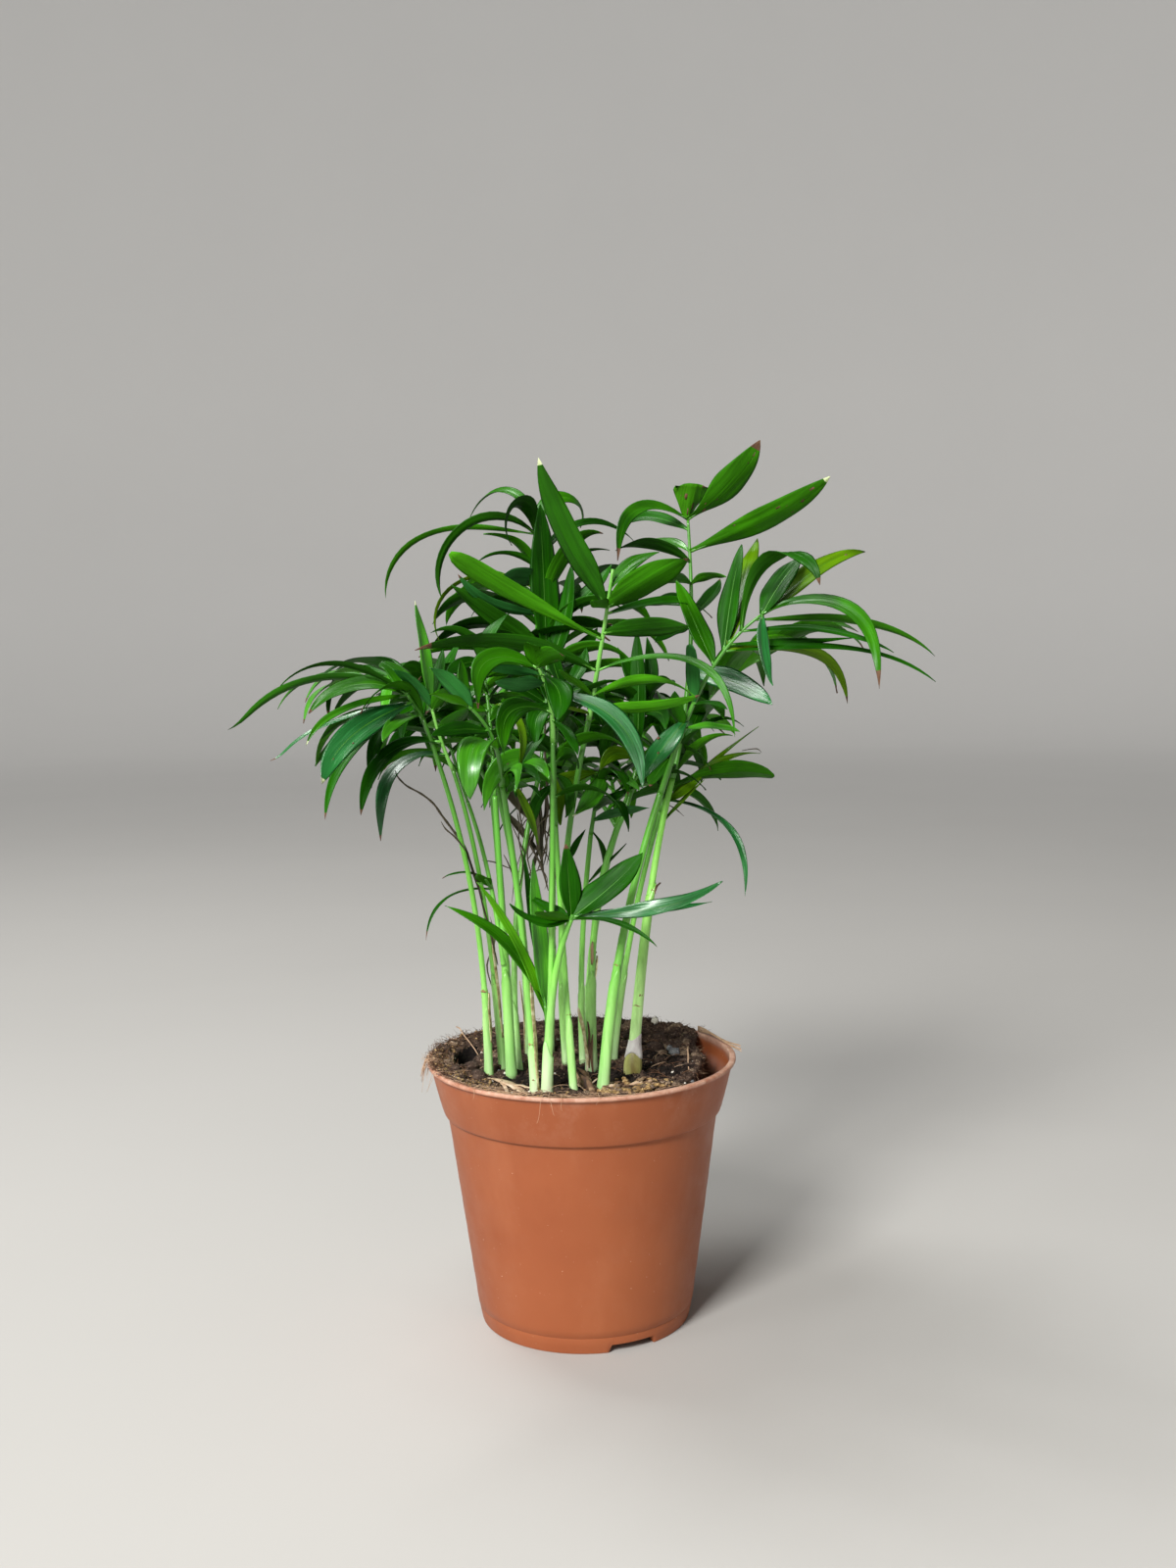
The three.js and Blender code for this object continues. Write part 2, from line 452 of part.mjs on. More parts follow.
// outline of a leaflet: narrow foot, widest at two fifths, drawn-out tip
const leafWidth = (s) => (s === 0 ? 0.1 : 1) * Math.min(1, 0.34 + 2.2 * s) * Math.pow(Math.max(0, 1 - Math.pow(s, 2.4)), 0.8);

function leafSolid(base, leaf, grow = 0) {
  const [, az, el, len, droop, k, sway, w, roll] = leaf;
  const pts = limbOf(base, az, el, len, droop, k, sway);
  const rings = [];
  const curved = Math.abs(droop) > 70 && len > 44 ? [0, 0.32, 0.68] : [0, 0.5];
  for (const s of curved) {
    const f = frameAt(pts, s, rad(roll));
    const h = w / 2 * leafWidth(s);
    const t = KEEL * (s === 0 ? 0.6 : 1 - 0.4 * s);
    const at = (b, v) => f.P.clone().addScaledVector(f.B, b).addScaledVector(f.N, v);
    if (grow > 0) rings.push([at(h + 2 * grow, grow), at(-h - 2 * grow, grow), at(-h / 2, -t - grow), at(h / 2, -t - grow)]);
    else rings.push([at(h, 0), at(-h, 0), at(0, -t)]);
  }
  const end = frameAt(pts, 1);
  rings.push([end.P.clone().addScaledVector(end.T, 3 * grow)]);
  return loft(rings);
}

// small repeatable sequence for the ruled fronds
function sequence(seed) {
  let a = seed >>> 0;
  return () => { a = (Math.imul(a, 1664525) + 1013904223) >>> 0; return a / 4294967296; };
}

// leaflets of a ruled frond: opposite pairs, spreading wide at the foot of
// the rachis and closing towards its end
function ruledLeaflets(azD, elD, len, droopD, k, swayD, pairs, leafLen, seed) {
  const r = sequence(seed), out = [];
  const az0 = rad(azD), el0 = rad(elD), droop = rad(droopD), sway = rad(swayD);
  for (let i = 0; i < pairs; i++) for (const side of [1, -1]) {
    const t = Math.min(1, 0.22 + 0.78 * (i + (side > 0 ? 0.25 : 0)) / (pairs - 0.75));
    const a = az0 + sway * t, e = el0 - droop * Math.pow(t, k);
    const T = new THREE.Vector3(Math.cos(e) * Math.cos(a), Math.cos(e) * Math.sin(a), Math.sin(e));
    const N = new THREE.Vector3(-Math.sin(e) * Math.cos(a), -Math.sin(e) * Math.sin(a), Math.cos(e));
    const B = new THREE.Vector3(-Math.sin(a), Math.cos(a), 0);
    const f = rad(72 - 44 * t + (r() - 0.5) * 16);
    const d = T.multiplyScalar(Math.cos(f)).addScaledVector(B, side * Math.sin(f))
      .addScaledVector(N, 0.30 + 0.2 * (r() - 0.5)).normalize();
    const ll = leafLen * (0.62 + 0.38 * Math.sin(Math.PI * Math.min(1, 0.25 + 0.62 * t))) * (0.85 + 0.3 * r());
    const droopL = 55 + 70 * r(), swayL = (r() - 0.5) * 40, roll = side * (12 + 20 * r());
    r();
    out.push([t, THREE.MathUtils.radToDeg(Math.atan2(d.y, d.x)), THREE.MathUtils.radToDeg(Math.asin(d.z)),
      ll, droopL, 1.6, swayL, 0.13 * ll + 2.5, roll]);
  }
  return out;
}

// ------------------------------------------------------------ materials
const potMaterial = new THREE.MeshStandardMaterial({ color: 0xb5602f, roughness: 0.5, metalness: 0 });
const soilMaterial = new THREE.MeshStandardMaterial({ color: 0x3a2a1e, roughness: 1, metalness: 0 });
const stemColor = 0x9cc46a;
const frondColors = [0x1f6a1c, 0x2c8526, 0x19551f, 0x3b9430];

const palm = new THREE.Group();
function addNode(name, solid, material) {
  const mesh = new THREE.Mesh(geometryOf(solid), material);
  mesh.name = name;
  palm.add(mesh);
}

// ------------------------------------------------------------------ pot
const lipZ = POT_HEIGHT - LIP_T;
const potProfile = [
  [0, 0], [PAD_R, 0], [PAD_R + 0.8, FLOOR_Z], [FOOT_R - FOOT_W - 0.6, FLOOR_Z], [FOOT_R - FOOT_W, 0], [FOOT_R, 0],
  [BODY_LOW_R, RING_Z], [BODY_TOP_R, BAND_LOW_Z - 0.6], [BAND_LOW_R, BAND_LOW_Z],
  [BAND_TOP_R, lipZ], [LIP_R, lipZ], [LIP_R, POT_HEIGHT],
  [BAND_TOP_R - WALL + 0.2, POT_HEIGHT], [BAND_LOW_R - WALL - 0.2, BAND_LOW_Z + 1.2], [BODY_TOP_R - WALL, BAND_LOW_Z - 1.6],
  [BODY_LOW_R - WALL - 0.6, FLOOR_Z + FLOOR_T], [0, FLOOR_Z + FLOOR_T],
].map(([r, z]) => new THREE.Vector2(r, z));
const stand = new THREE.Matrix4().makeRotationX(Math.PI / 2);
let pot = solidOfGeometry(new THREE.LatheGeometry(potProfile, SEG).applyMatrix4(stand));
for (const at of NOTCH_AT) {
  const box = new THREE.BoxGeometry(12, NOTCH_W, NOTCH_H * 2)
    .applyMatrix4(new THREE.Matrix4().makeTranslation(FOOT_R - 1, 0, 0))
    .applyMatrix4(new THREE.Matrix4().makeRotationZ(rad(at)));
  pot = pot.subtract(solidOfGeometry(box));
}
addNode('pot', pot, potMaterial);

// ---------------------------------------------------------------- stems
const stemCurves = new Map();
const placedFat = [];
const stemSolids = [];
for (const [name, x, y, z, az, el, len, droop, k, sway, d0, d1] of STEMS) {
  const pts = limbOf(new THREE.Vector3(x, y, z), az, el, len, droop, k, sway);
  stemCurves.set(name, pts);
  const foot = z < SOIL_TOP + 2 ? SOIL_TOP + GAP : null;
  let solid = tubeSolid(pts, d0, d1, 4, 5, 0, foot);
  for (const p of placedFat) solid = solid.subtract(p);
  solid = largest(solid);
  placedFat.push(tubeSolid(pts, d0, d1, 4, 5, GAP, foot));
  stemSolids.push([name, solid]);
}

// ----------------------------------------------------------------- soil
const soilProfile = [
  [0, FLOOR_Z + FLOOR_T + GAP], [BODY_LOW_R - WALL - 2.2, FLOOR_Z + FLOOR_T + GAP],
  [BODY_TOP_R - WALL - 1.4, BAND_LOW_Z - 2], [BAND_TOP_R - WALL - 1.6, SOIL_EDGE],
  [51, SOIL_TOP], [0, SOIL_TOP],
].map(([r, z]) => new THREE.Vector2(r, z));
addNode('soil', solidOfGeometry(new THREE.LatheGeometry(soilProfile, SEG).applyMatrix4(stand)), soilMaterial);
// --------------------------------------------------------------- fronds
function frondSolid(pts, leaves, grow, d0 = RACHIS_D0) {
  let solid = tubeSolid(pts, d0, RACHIS_D1, Math.max(2, Math.round(pts.pts[0].distanceTo(pts.pts[24]) / 20)), 3, grow);
  for (const leaf of leaves) {
    const f = frameAt(pts, Math.round(leaf[0] * 24) / 24);
    solid = solid.add(leafSolid(f.P, leaf, grow));
  }
  return solid;
}

const jobs = [];
for (const [name, stem, at, az, el, len, droop, k, sway, leaves] of FRONDS) {
  jobs.push([name, stem, at, az, el, len, droop, k, sway, leaves]);
}
for (const [name, stem, at, az, el, len, droop, k, sway, pairs, leafLen, seed] of RULED) {
  jobs.push([name, stem, at, az, el, len, droop, k, sway,
    ruledLeaflets(az, el, len, droop, k, sway, pairs, leafLen, seed)]);
}
const solids = stemSolids.map(([name, solid]) => ({ name, solid }));
for (const [name, stem, at, az, el, len, droop, k, sway, leaves] of jobs) {
  const f = frameAt(stemCurves.get(stem), Math.round(at * 24) / 24);
  const limb = limbOf(f.P, az, el, len, droop, k, sway);
  let solid = frondSolid(limb, leaves, 0);
  for (const p of placedFat) if (near(solid, p)) solid = solid.subtract(p);
  solids.push({ name, solid: largest(solid) });
  placedFat.push(frondSolid(limb, leaves, GAP));
}

// where two blades still touch, a small block clears the later one
for (let j = 1; j < solids.length; j++) {
  for (let i = 0; i < j; i++) {
    if (!near(solids[i].solid, solids[j].solid)) continue;
    const common = solids[i].solid.intersect(solids[j].solid);
    if (common.volume() < 1e-5) continue;
    for (const bit of common.decompose()) {
      const { min, max } = bit.boundingBox();
      const block = new THREE.BoxGeometry(...[0, 1, 2].map((a) => max[a] - min[a] + 2 * GAP))
        .applyMatrix4(new THREE.Matrix4().makeTranslation(...[0, 1, 2].map((a) => (max[a] + min[a]) / 2)));
      solids[j].solid = solids[j].solid.subtract(solidOfGeometry(block));
    }
    solids[j].solid = largest(solids[j].solid);
  }
}

let n = 0;
for (const { name, solid } of solids) {
  const color = name.startsWith('stem') ? stemColor : frondColors[n++ % 4];
  addNode(name, solid, new THREE.MeshStandardMaterial({ color, roughness: 0.4, metalness: 0 }));
}

export default palm;
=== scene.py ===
# Potted parlour palm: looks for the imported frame. Metres in Blender, and
# millimetres in the tables below (MM turns them into metres).
import bpy
import math
import random
import numpy as np
from mathutils import Matrix, Vector, noise


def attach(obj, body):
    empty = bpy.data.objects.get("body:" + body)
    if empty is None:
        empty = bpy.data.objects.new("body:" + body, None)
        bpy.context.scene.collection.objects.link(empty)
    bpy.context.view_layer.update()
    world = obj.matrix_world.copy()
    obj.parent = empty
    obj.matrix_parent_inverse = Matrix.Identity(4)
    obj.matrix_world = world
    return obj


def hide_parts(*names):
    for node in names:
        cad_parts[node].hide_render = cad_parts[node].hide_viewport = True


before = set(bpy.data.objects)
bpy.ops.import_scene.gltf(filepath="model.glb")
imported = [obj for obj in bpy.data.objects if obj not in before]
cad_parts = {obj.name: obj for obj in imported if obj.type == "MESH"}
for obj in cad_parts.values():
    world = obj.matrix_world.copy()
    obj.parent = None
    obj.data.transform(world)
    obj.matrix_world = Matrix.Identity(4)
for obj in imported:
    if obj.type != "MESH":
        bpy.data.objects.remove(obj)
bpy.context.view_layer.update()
MM = 0.001

# ------------------------------------------------------------------ sizes
# Stems: name, foot x, y, z, azimuth, elevation, length, droop, bend power,
# sway, diameter at the foot, diameter at the top.
STEMS = [
    ("stem_left", -35.2, -20, 99.5, 263, 87.7, 140.2, 16.9, 1, -76.7, 3.1, 1.8),
    ("stem_left_second", -30.4, -12, 99.4, 249, 82.5, 120.2, 11.3, 2.4, -36.8, 2.8, 1.8),
    ("stem_left_third", -26.5, -22, 99.5, 154, 87.7, 107.4, 0.5, 2.4, 0.7, 4.1, 2.3),
    ("stem_left_third_branch", -28.6, -22.5, 143.2, 126, 78.5, 63.2, 10.5, 1.6, 26.7, 2.2, 1.7),
    ("stem_left_inner", -23.9, -14, 99.1, 111, 73.5, 117.8, 1.7, 1, -71.5, 2.8, 2.1),
    ("stem_front_left", -16.9, -46, 99.9, 197, 88.2, 113.4, 6.1, 1, -8.2, 3.1, 2.2),
    ("stem_front", -12.6, -47.5, 99.9, 299, 85.1, 67.4, 19, 2.4, 41.5, 4.2, 2.4),
    ("stem_front_branch", -11, -49, 128.7, 297, 84.3, 100.6, -0.6, 1, -15.8, 2.2, 1.9),
    ("stem_front_right", -2.7, -47, 99.6, 113, 80.3, 98.5, -1.3, 2.4, -7.4, 2.8, 2.1),
    ("stem_middle", -6, -3, 99.7, 246, 81.2, 137.9, 5.6, 1, 91.7, 3, 2.3),
    ("stem_middle_right", 3.8, -14, 99.4, 101, 84.6, 100.4, 21.7, 2.4, -91.7, 4.4, 2.4),
    ("stem_middle_right_twin", 0.5, -3, 100, 110, 83.4, 89.5, 0.8, 1, -91.7, 2.6, 2.1),
    ("stem_right", 7.7, -42, 99.4, 45, 83.2, 111.8, 13.6, 1, -30.4, 4.2, 2.7),
    ("stem_right_twin", 12.3, -3, 100.1, 42, 81.9, 99.6, 10.5, 1, -23.1, 2.6, 2.3),
    ("stem_far_right", 19, -21, 99.6, 52, 81.4, 113.9, 8.5, 2.4, -26.4, 4.7, 2.6),
    ("stem_back_left", -28.5, 12, 100, 101, 79.4, 120.9, 2, 2.4, 15.4, 3.8, 2.8),
    ("stem_back_middle", -13.3, 14, 100, 79, 75.9, 137.4, -1.1, 1, 11.7, 3.9, 2.8),
    ("stem_back_right", 2.8, 14, 100.5, 92, 71.3, 117.1, 11.5, 1.6, -60.1, 3.9, 2.9),
    ("stem_back_far_right", 9.9, 16, 100.7, 62, 74.4, 114.8, 8.6, 1, -29.6, 3.9, 2.8),
    ("stem_back_far_left", -20.5, 6, 99.8, 94, 80.4, 139.8, 16.3, 2.4, 66.4, 3.4, 2.8),
]
# Fronds: name, stem, place on the stem, azimuth, elevation, length, droop,
# bend power, sway, then leaflets: place on the rachis, azimuth, elevation,
# length, droop, bend power, sway, width, roll, tone.
FRONDS = [
    ("frond_middle", "stem_middle", 1, 310.4, 73.5, 56.5, -0.9, 1, -6.6, [
        (0.75, 187, 59, 58.8, -18, 2.4, 31, 10.9, 38, "d", "p"),
        (0.54, 198, 26, 67.7, -2, 2.4, 24, 8.9, 42, "b", "oe"),
        (0.33, 205, 27, 76.4, 41, 1, 16, 7.3, 48, "d", "n"),
        (0.17, 231, 27, 25.8, 9, 1, 17, 3.9, 15, "b", ""),
        (0.04, 237, 13, 27.2, 20, 1.6, 12, 2.8, 21, "y", ""),
        (0.75, 324, 29, 42.2, 14, 1, -17, 12.3, -37, "m", ""),
        (0.88, 21, 60, 24, 52, 1, -3, 6.3, 41, "m", ""),
        (0.75, 247, 9, 14.5, 0, 1.6, 0, 6.2, 29, "m", ""),
        (0.58, 316, 6, 49.2, 8, 1, -20, 8.8, -51, "d", ""),
        (0.33, 343, 23, 87.5, 77, 1, -76, 3.5, 34, "m", ""),
        (0.17, 318, 21, 62.7, 41, 1, -28, 4.6, -46, "b", ""),
        (0.08, 325, -2, 54.7, -15, 1, -23, 5.4, -50, "b", ""),
        (0.71, 9, 16, 44.6, 64, 2.4, 23, 4, 45, "d", ""),
    ]),
    ("frond_front", "stem_front_branch", 1, 277.2, 64.2, 30.6, 14.5, 2.4, -46, [
        (0.96, 195, 36, 45.3, 108, 1, 92, 8, -44, "m", ""),
        (1, 301, 26, 19.1, 38, 1.6, -2, 9.4, -29, "m", "n"),
        (1, 266, 44, 14.9, 25, 1.6, -18, 8.7, -13, "m", ""),
        (0.88, 206, 11, 25.8, 13, 1.6, 14, 4.4, 45, "t", ""),
        (0.75, 228, -2, 28.6, -11, 1, 17, 6.6, 51, "t", ""),
        (0.38, 196, 29, 37.3, 104, 1, 92, 8.5, -34, "m", ""),
        (0.62, 349, -4, 58.4, 58, 1, -77, 7.7, 28, "t", ""),
        (0.29, 313, -25, 23.3, 8, 1, -35, 4.5, 3, "d", ""),
        (0.88, 332, -22, 22.8, 41, 1, -92, 9.8, -1, "d", ""),
    ]),
    ("frond_front_left", "stem_front_left", 1, 269.6, 70.1, 35.9, 32.6, 1.6, -67.4, [
        (0.42, 235, 39, 36.6, 153, 1, 40, 10.8, -8, "b", ""),
        (0.08, 315, 41, 29.5, 94, 1, -66, 4.6, 39, "b", ""),
        (0.12, 320, 18, 28.3, 56, 1.6, -36, 4.2, 45, "d", ""),
        (0.62, 227, 10, 32.6, 20, 1, 20, 6, -50, "d", ""),
        (0.96, 227, 21, 21.1, 19, 1.6, 14, 4.1, 32, "b", ""),
        (0.92, 211, 51, 22.2, 22, 1.6, 6, 7.5, 34, "t", ""),
        (1, 134, 77, 15.7, -10, 1, -8, 5.3, 4, "m", ""),
    ]),
    ("frond_front_left_small", "stem_front_left", 0.958, 35.5, 56.4, 12.2, -1.9, 2.4, 1.8, [
        (0.54, 359, -59, 24.1, 19, 1, -1, 3.9, 41, "y", ""),
        (1, 197, 100, 29.5, 114, 2.4, -43, 3.9, -42, "y", ""),
        (0.92, 320, 38, 23.2, 84, 1, -35, 5.4, 47, "b", ""),
        (1, 42, 59, 17.5, 28, 1, -2, 5.4, 17, "d", ""),
    ]),
    ("frond_left", "stem_left", 1, 248.1, 40, 14.2, 2.3, 1, -1.5, [
        (1, 196, 37, 50.2, 84, 1.6, 14, 3.1, 39, "d", ""),
        (1, 178, 30, 73.7, 85, 1, -8, 3.9, 46, "d", "c"),
        (1, 181, 34, 39.1, 88, 1, 11, 6.6, -52, "m", ""),
        (1, 128, 71, 18.1, 59, 1, 25, 8.6, -15, "m", "o"),
        (1, 206, -7, 51.7, 37, 2.4, 50, 3.5, -33, "m", "p"),
        (0.71, 185, -10, 56.5, 46, 2.4, 28, 2.8, -26, "t", "c"),
        (0.67, 221, -14, 63.8, 17, 1, 48, 10.6, -29, "t", "p"),
        (0.33, 199, -17, 62.8, 35, 1, 75, 4.3, -19, "d", ""),
        (0, 248, 66, 44.4, 122, 1, -15, 5.4, 33, "m", ""),
        (0.17, 241, -1, 37.1, 22, 1, 28, 5.4, -24, "b", ""),
        (0.17, 188, -2, 38.1, 93, 1, 92, 5.5, -20, "d", ""),
    ]),
    ("frond_left_lower", "stem_left_second", 1, 221.9, 62.2, 25.4, -9, 1, 16.5, [
        (0.46, 205, 12, 50.8, 85, 1, 53, 6.2, -29, "d", ""),
        (0.25, 190, 13, 50.4, 111, 1, 92, 5.5, -21, "t", ""),
        (1, 160, 84, 39.2, 6, 1.6, 0, 5.5, -25, "b", "p"),
        (1, 233, 51, 24.9, 30, 1, 1, 5.4, 18, "t", ""),
        (0.96, 304, 38, 22.5, 37, 1.6, 3, 6.2, -15, "m", ""),
        (0.67, 319, 17, 22.6, -9, 1, -23, 6.2, -29, "d", ""),
        (1, 72, 59, 26.7, 13, 1, 13, 5.9, -16, "d", ""),
    ]),
    ("frond_left_inner", "stem_left_third_branch", 1, 122.9, 54.7, 46.1, -5, 1, -9.2, [
        (0.83, 194, -9, 35.1, 54, 1, 53, 6.6, -34, "d", ""),
        (1, 231, 56, 24.6, 67, 1, -4, 5.8, 29, "m", ""),
        (1, 62, 73, 25.4, 28, 1, -19, 7.2, 9, "d", ""),
        (0.58, 356, 48, 17.1, 124, 1, -1, 6.2, 49, "d", ""),
        (0.79, 26, 47, 23.9, 49, 2.4, 0, 6.7, 38, "m", ""),
        (0.96, 122, 54, 22.6, 15, 1.6, -4, 6.3, 7, "d", ""),
    ]),
    ("frond_left_middle", "stem_left_third", 1, 98.6, 76.4, 51.5, 3.1, 2.4, 22.5, [
        (0.88, 248, 100, 33.3, 122, 1, -85, 6.1, 30, "d", ""),
        (1, 237, 4, 29.2, 29, 1, 18, 6, -38, "d", ""),
        (0.62, 210, 18, 27.4, 46, 1, 22, 6.4, -49, "m", ""),
        (0.54, 322, 38, 26.7, 60, 1.6, -8, 6.4, -35, "d", ""),
        (0.88, 330, 32, 25.1, 61, 1, -15, 6.5, -49, "m", ""),
        (1, 71, 73, 25, 48, 1, -37, 6.6, 8, "d", ""),
        (0.33, 325, 39, 21.3, 95, 1.6, -26, 6, -40, "m", ""),
    ]),
    ("frond_top_left", "stem_left_inner", 1, 57.4, 73.5, 99.4, -3, 1, 70.2, [
        (1, 178, 9, 81.5, 106, 2.4, -28, 3.5, 38, "m", ""),
        (1, 210, 43, 65, 154, 1, -46, 4.8, 47, "d", ""),
        (1, 129, 85, 56.2, 154, 1, 16, 4.4, -35, "m", ""),
        (1, 255, 98, 42.2, 231, 1, -40, 7.4, 44, "d", ""),
        (1, 5, 80, 39.7, 210, 1.6, 40, 7, 49, "m", ""),
        (0.88, 24, 69, 54.9, 116, 1, 7, 4.4, 42, "d", ""),
        (0.5, 115, 88, 59.7, 3, 1, 3, 13.9, 7, "d", ""),
        (0.42, 5, 66, 44.9, -20, 1, 12, 8.6, 47, "d", ""),
        (0.5, 191, 34, 47.5, -5, 2.4, 10, 9.5, 49, "d", ""),
        (0.79, 240, 13, 37.3, 36, 1, -4, 9.4, 55, "t", ""),
        (0.83, 198, 56, 29.8, 92, 1, -1, 3.4, 36, "d", ""),
        (0.67, 196, -4, 43.8, -50, 1, 34, 5.6, 41, "t", ""),
        (0.75, 182, 31, 66.6, 157, 1.6, -17, 2.8, 31, "y", ""),
        (0.71, 332, 67, 43.8, 88, 2.4, -10, 7.8, -24, "m", ""),
        (0.62, 3, 28, 36.6, -33, 1.6, 5, 7.8, 53, "d", ""),
        (0.42, 25, 21, 33.3, -25, 1, 32, 7.8, 32, "d", ""),
        (0.29, 173, 35, 25.4, 25, 1.6, -2, 6.9, -47, "d", ""),
    ]),
    ("frond_low_front", "stem_front", 1, 320.5, 51.8, 1.9, 0, 1, 0, [
        (0.21, 124, 86, 26.4, 4, 1, 0, 9.2, 1, "d", "n"),
        (0.33, 11, 35, 34.9, -13, 2.4, 14, 11.5, 40, "d", ""),
        (0.62, 351, 5, 56.9, -33, 2.4, -15, 7.6, 47, "t", "we"),
        (0.83, 11, 0, 52.8, -7, 2.4, 11, 3.9, 36, "t", ""),
        (0, 329, 9, 42.7, 31, 1, -29, 2.8, 21, "d", ""),
        (0, 222, 10, 20.8, -10, 1, 20, 4.6, 47, "m", ""),
        (0, 209, -14, 26.2, -64, 1, -4, 4.6, -44, "d", ""),
        (0, 149, 19, 21, 2, 1, -15, 4.7, -25, "d", ""),
    ]),
    ("frond_top_right", "stem_far_right", 1, 24.9, 74.8, 100.5, -7.9, 1, 88.2, [
        (1, 345, 32, 41.4, -22, 1, -26, 13, -40, "m", "nsq"),
        (0.88, 342, 19, 63.9, -13, 2.4, -28, 11.6, -45, "m", "psq"),
        (1, 300, 75, 13.3, 9, 1, -2, 14.7, -3, "b", "rs"),
        (1, 206, 29, 58.1, 98, 1, 60, 5.7, -43, "m", "n"),
        (0.96, 155, 28, 34.7, 63, 1.6, -19, 5.5, -49, "d", ""),
        (0.83, 211, 33, 40.8, 56, 1, 20, 5.8, 38, "d", ""),
        (0.88, 121, 26, 27.9, 24, 1, -6, 4.2, -29, "b", ""),
        (0.75, 243, 12, 37.8, 32, 1, 10, 4.9, 47, "m", ""),
        (0.75, 300, 18, 27.4, 30, 1, -10, 4.5, -34, "m", ""),
        (0.67, 131, 20, 33, 41, 1, -14, 6.3, -51, "d", ""),
        (0.62, 58, 22, 39.9, -2, 1, 19, 6.3, 7, "d", ""),
        (0.42, 329, -8, 42.9, 18, 1, -29, 10.2, 44, "t", ""),
        (0.58, 208, 3, 19.8, 40, 1, 22, 6.6, -42, "d", ""),
    ]),
    ("frond_right", "stem_right", 1, 345.4, 70.9, 75.7, 37.6, 2.4, 9, [
        (0.67, 144, 64, 36, 6, 1, -14, 8.7, -22, "m", ""),
        (0.75, 69, 67, 45.3, 16, 1.6, -5, 8.7, -14, "d", ""),
        (0.79, 69, 48, 59.7, 13, 1.6, 2, 9.7, -12, "y", ""),
        (0.88, 308, 83, 58.6, 166, 1.6, 8, 8.9, -23, "d", "ev"),
        (1, 25, 59, 27.9, 17, 1, 4, 9.5, 30, "d", ""),
        (1, 25, 37, 54.4, 39, 2.4, 10, 8.4, 36, "y", ""),
        (1, 355, 30, 70.2, 113, 1, -92, 5.8, 42, "m", "n"),
        (0.88, 350, 5, 56.2, 36, 1.6, -16, 3.5, 44, "d", ""),
        (0.79, 1, 0, 44.7, -4, 1, 1, 3.6, 45, "d", ""),
        (0.75, 357, 4, 78.3, 45, 2.4, -8, 3.2, 43, "d", ""),
        (0.96, 6, 1, 73.5, 43, 2.4, 14, 4, -44, "m", ""),
        (0.75, 9, 5, 66.5, 89, 2.4, 43, 5.2, -46, "y", ""),
        (1, 260, -52, 39.2, -25, 1, 20, 5.4, -32, "t", ""),
        (0.46, 264, 61, 28, 20, 1, 0, 6.2, -35, "t", "o"),
        (0.46, 295, 8, 33.1, 19, 1, -16, 2.8, 33, "d", ""),
        (0.38, 230, -30, 37.9, -1, 2.4, 16, 9.3, -12, "t", ""),
        (0.33, 306, 7, 38.3, 13, 1, -18, 3.5, 42, "b", ""),
        (0.33, 222, 55, 16.5, -5, 1, 50, 6.3, -8, "d", ""),
    ]),
    ("frond_right_lower", "stem_right_twin", 1, 29, 78.2, 29.3, 22, 1, -13.8, [
        (0.12, 285, 70, 41.9, 43, 1, 32, 7.9, -5, "d", ""),
        (0.38, 353, 56, 35.2, 71, 2.4, -19, 4.6, -43, "b", ""),
        (0.96, 18, 49, 29.8, 93, 1.6, 0, 2.9, 28, "d", ""),
        (0.08, 21, 35, 54.8, 9, 2.4, 14, 2.9, 19, "y", ""),
        (0.04, 2, 43, 46.2, 52, 2.4, 2, 4.2, 40, "y", ""),
        (0.29, 326, 26, 53.5, 34, 1, -15, 8.7, -53, "m", "oe"),
        (0.17, 336, -3, 70.5, 48, 1, -81, 3.3, 8, "t", ""),
        (0.71, 127, 50, 31.1, 6, 1.6, -32, 6.8, 5, "d", ""),
        (1, 51, 50, 29.7, 9, 1, 19, 7.2, -2, "d", ""),
        (1, 238, -20, 47.2, -7, 1, 22, 9.9, -10, "m", ""),
    ]),
    ("frond_middle_right", "stem_middle_right", 1, 43.8, 62.2, 46.7, -10.1, 1, 40.8, [
        (0.46, 67, 82, 53.1, 4, 2.4, 32, 8.4, -27, "d", ""),
        (0.79, 32, 64, 37.3, -5, 1, 92, 6.8, -18, "d", ""),
        (1, 304, 34, 29.6, 73, 2.4, -15, 6.2, -19, "d", ""),
        (0.96, 219, 40, 26.7, 81, 1.6, 14, 6.2, 35, "d", ""),
        (0.46, 219, 44, 25.6, 95, 1, 23, 6.6, -52, "y", ""),
        (0.79, 346, 14, 20.3, 95, 2.4, -58, 5.8, 50, "m", ""),
        (0.33, 313, 32, 23.1, 72, 1, -39, 4.9, 44, "d", ""),
        (0.96, 146, 67, 25.7, 10, 2.4, -4, 6.3, -21, "d", ""),
        (0.88, 297, 15, 40.2, 42, 1, -32, 6.6, 35, "d", ""),
    ]),
    ("frond_middle_low", "stem_middle_right_twin", 1, 32.9, 78.5, 41, -2, 2.4, -1.5, [
        (0.58, 212, 6, 48.2, 52, 1, 77, 9.4, -20, "y", ""),
        (0.58, 266, -26, 45.4, -21, 1, -20, 9.4, 5, "b", "p"),
        (0.58, 302, 2, 39.4, 15, 1, -21, 4.1, 27, "b", ""),
        (0.12, 315, 20, 34.7, 15, 1, -12, 4.9, -43, "t", ""),
        (0.21, 12, 45, 17.1, 32, 1, 2, 4.6, 37, "d", ""),
        (0.83, 240, 22, 32.9, 40, 1, 12, 6.6, 50, "d", ""),
        (1, 294, 44, 24.1, 83, 1.6, -4, 6.2, -13, "d", ""),
        (1, 138, 59, 22.6, 18, 1, -3, 6.7, -16, "d", ""),
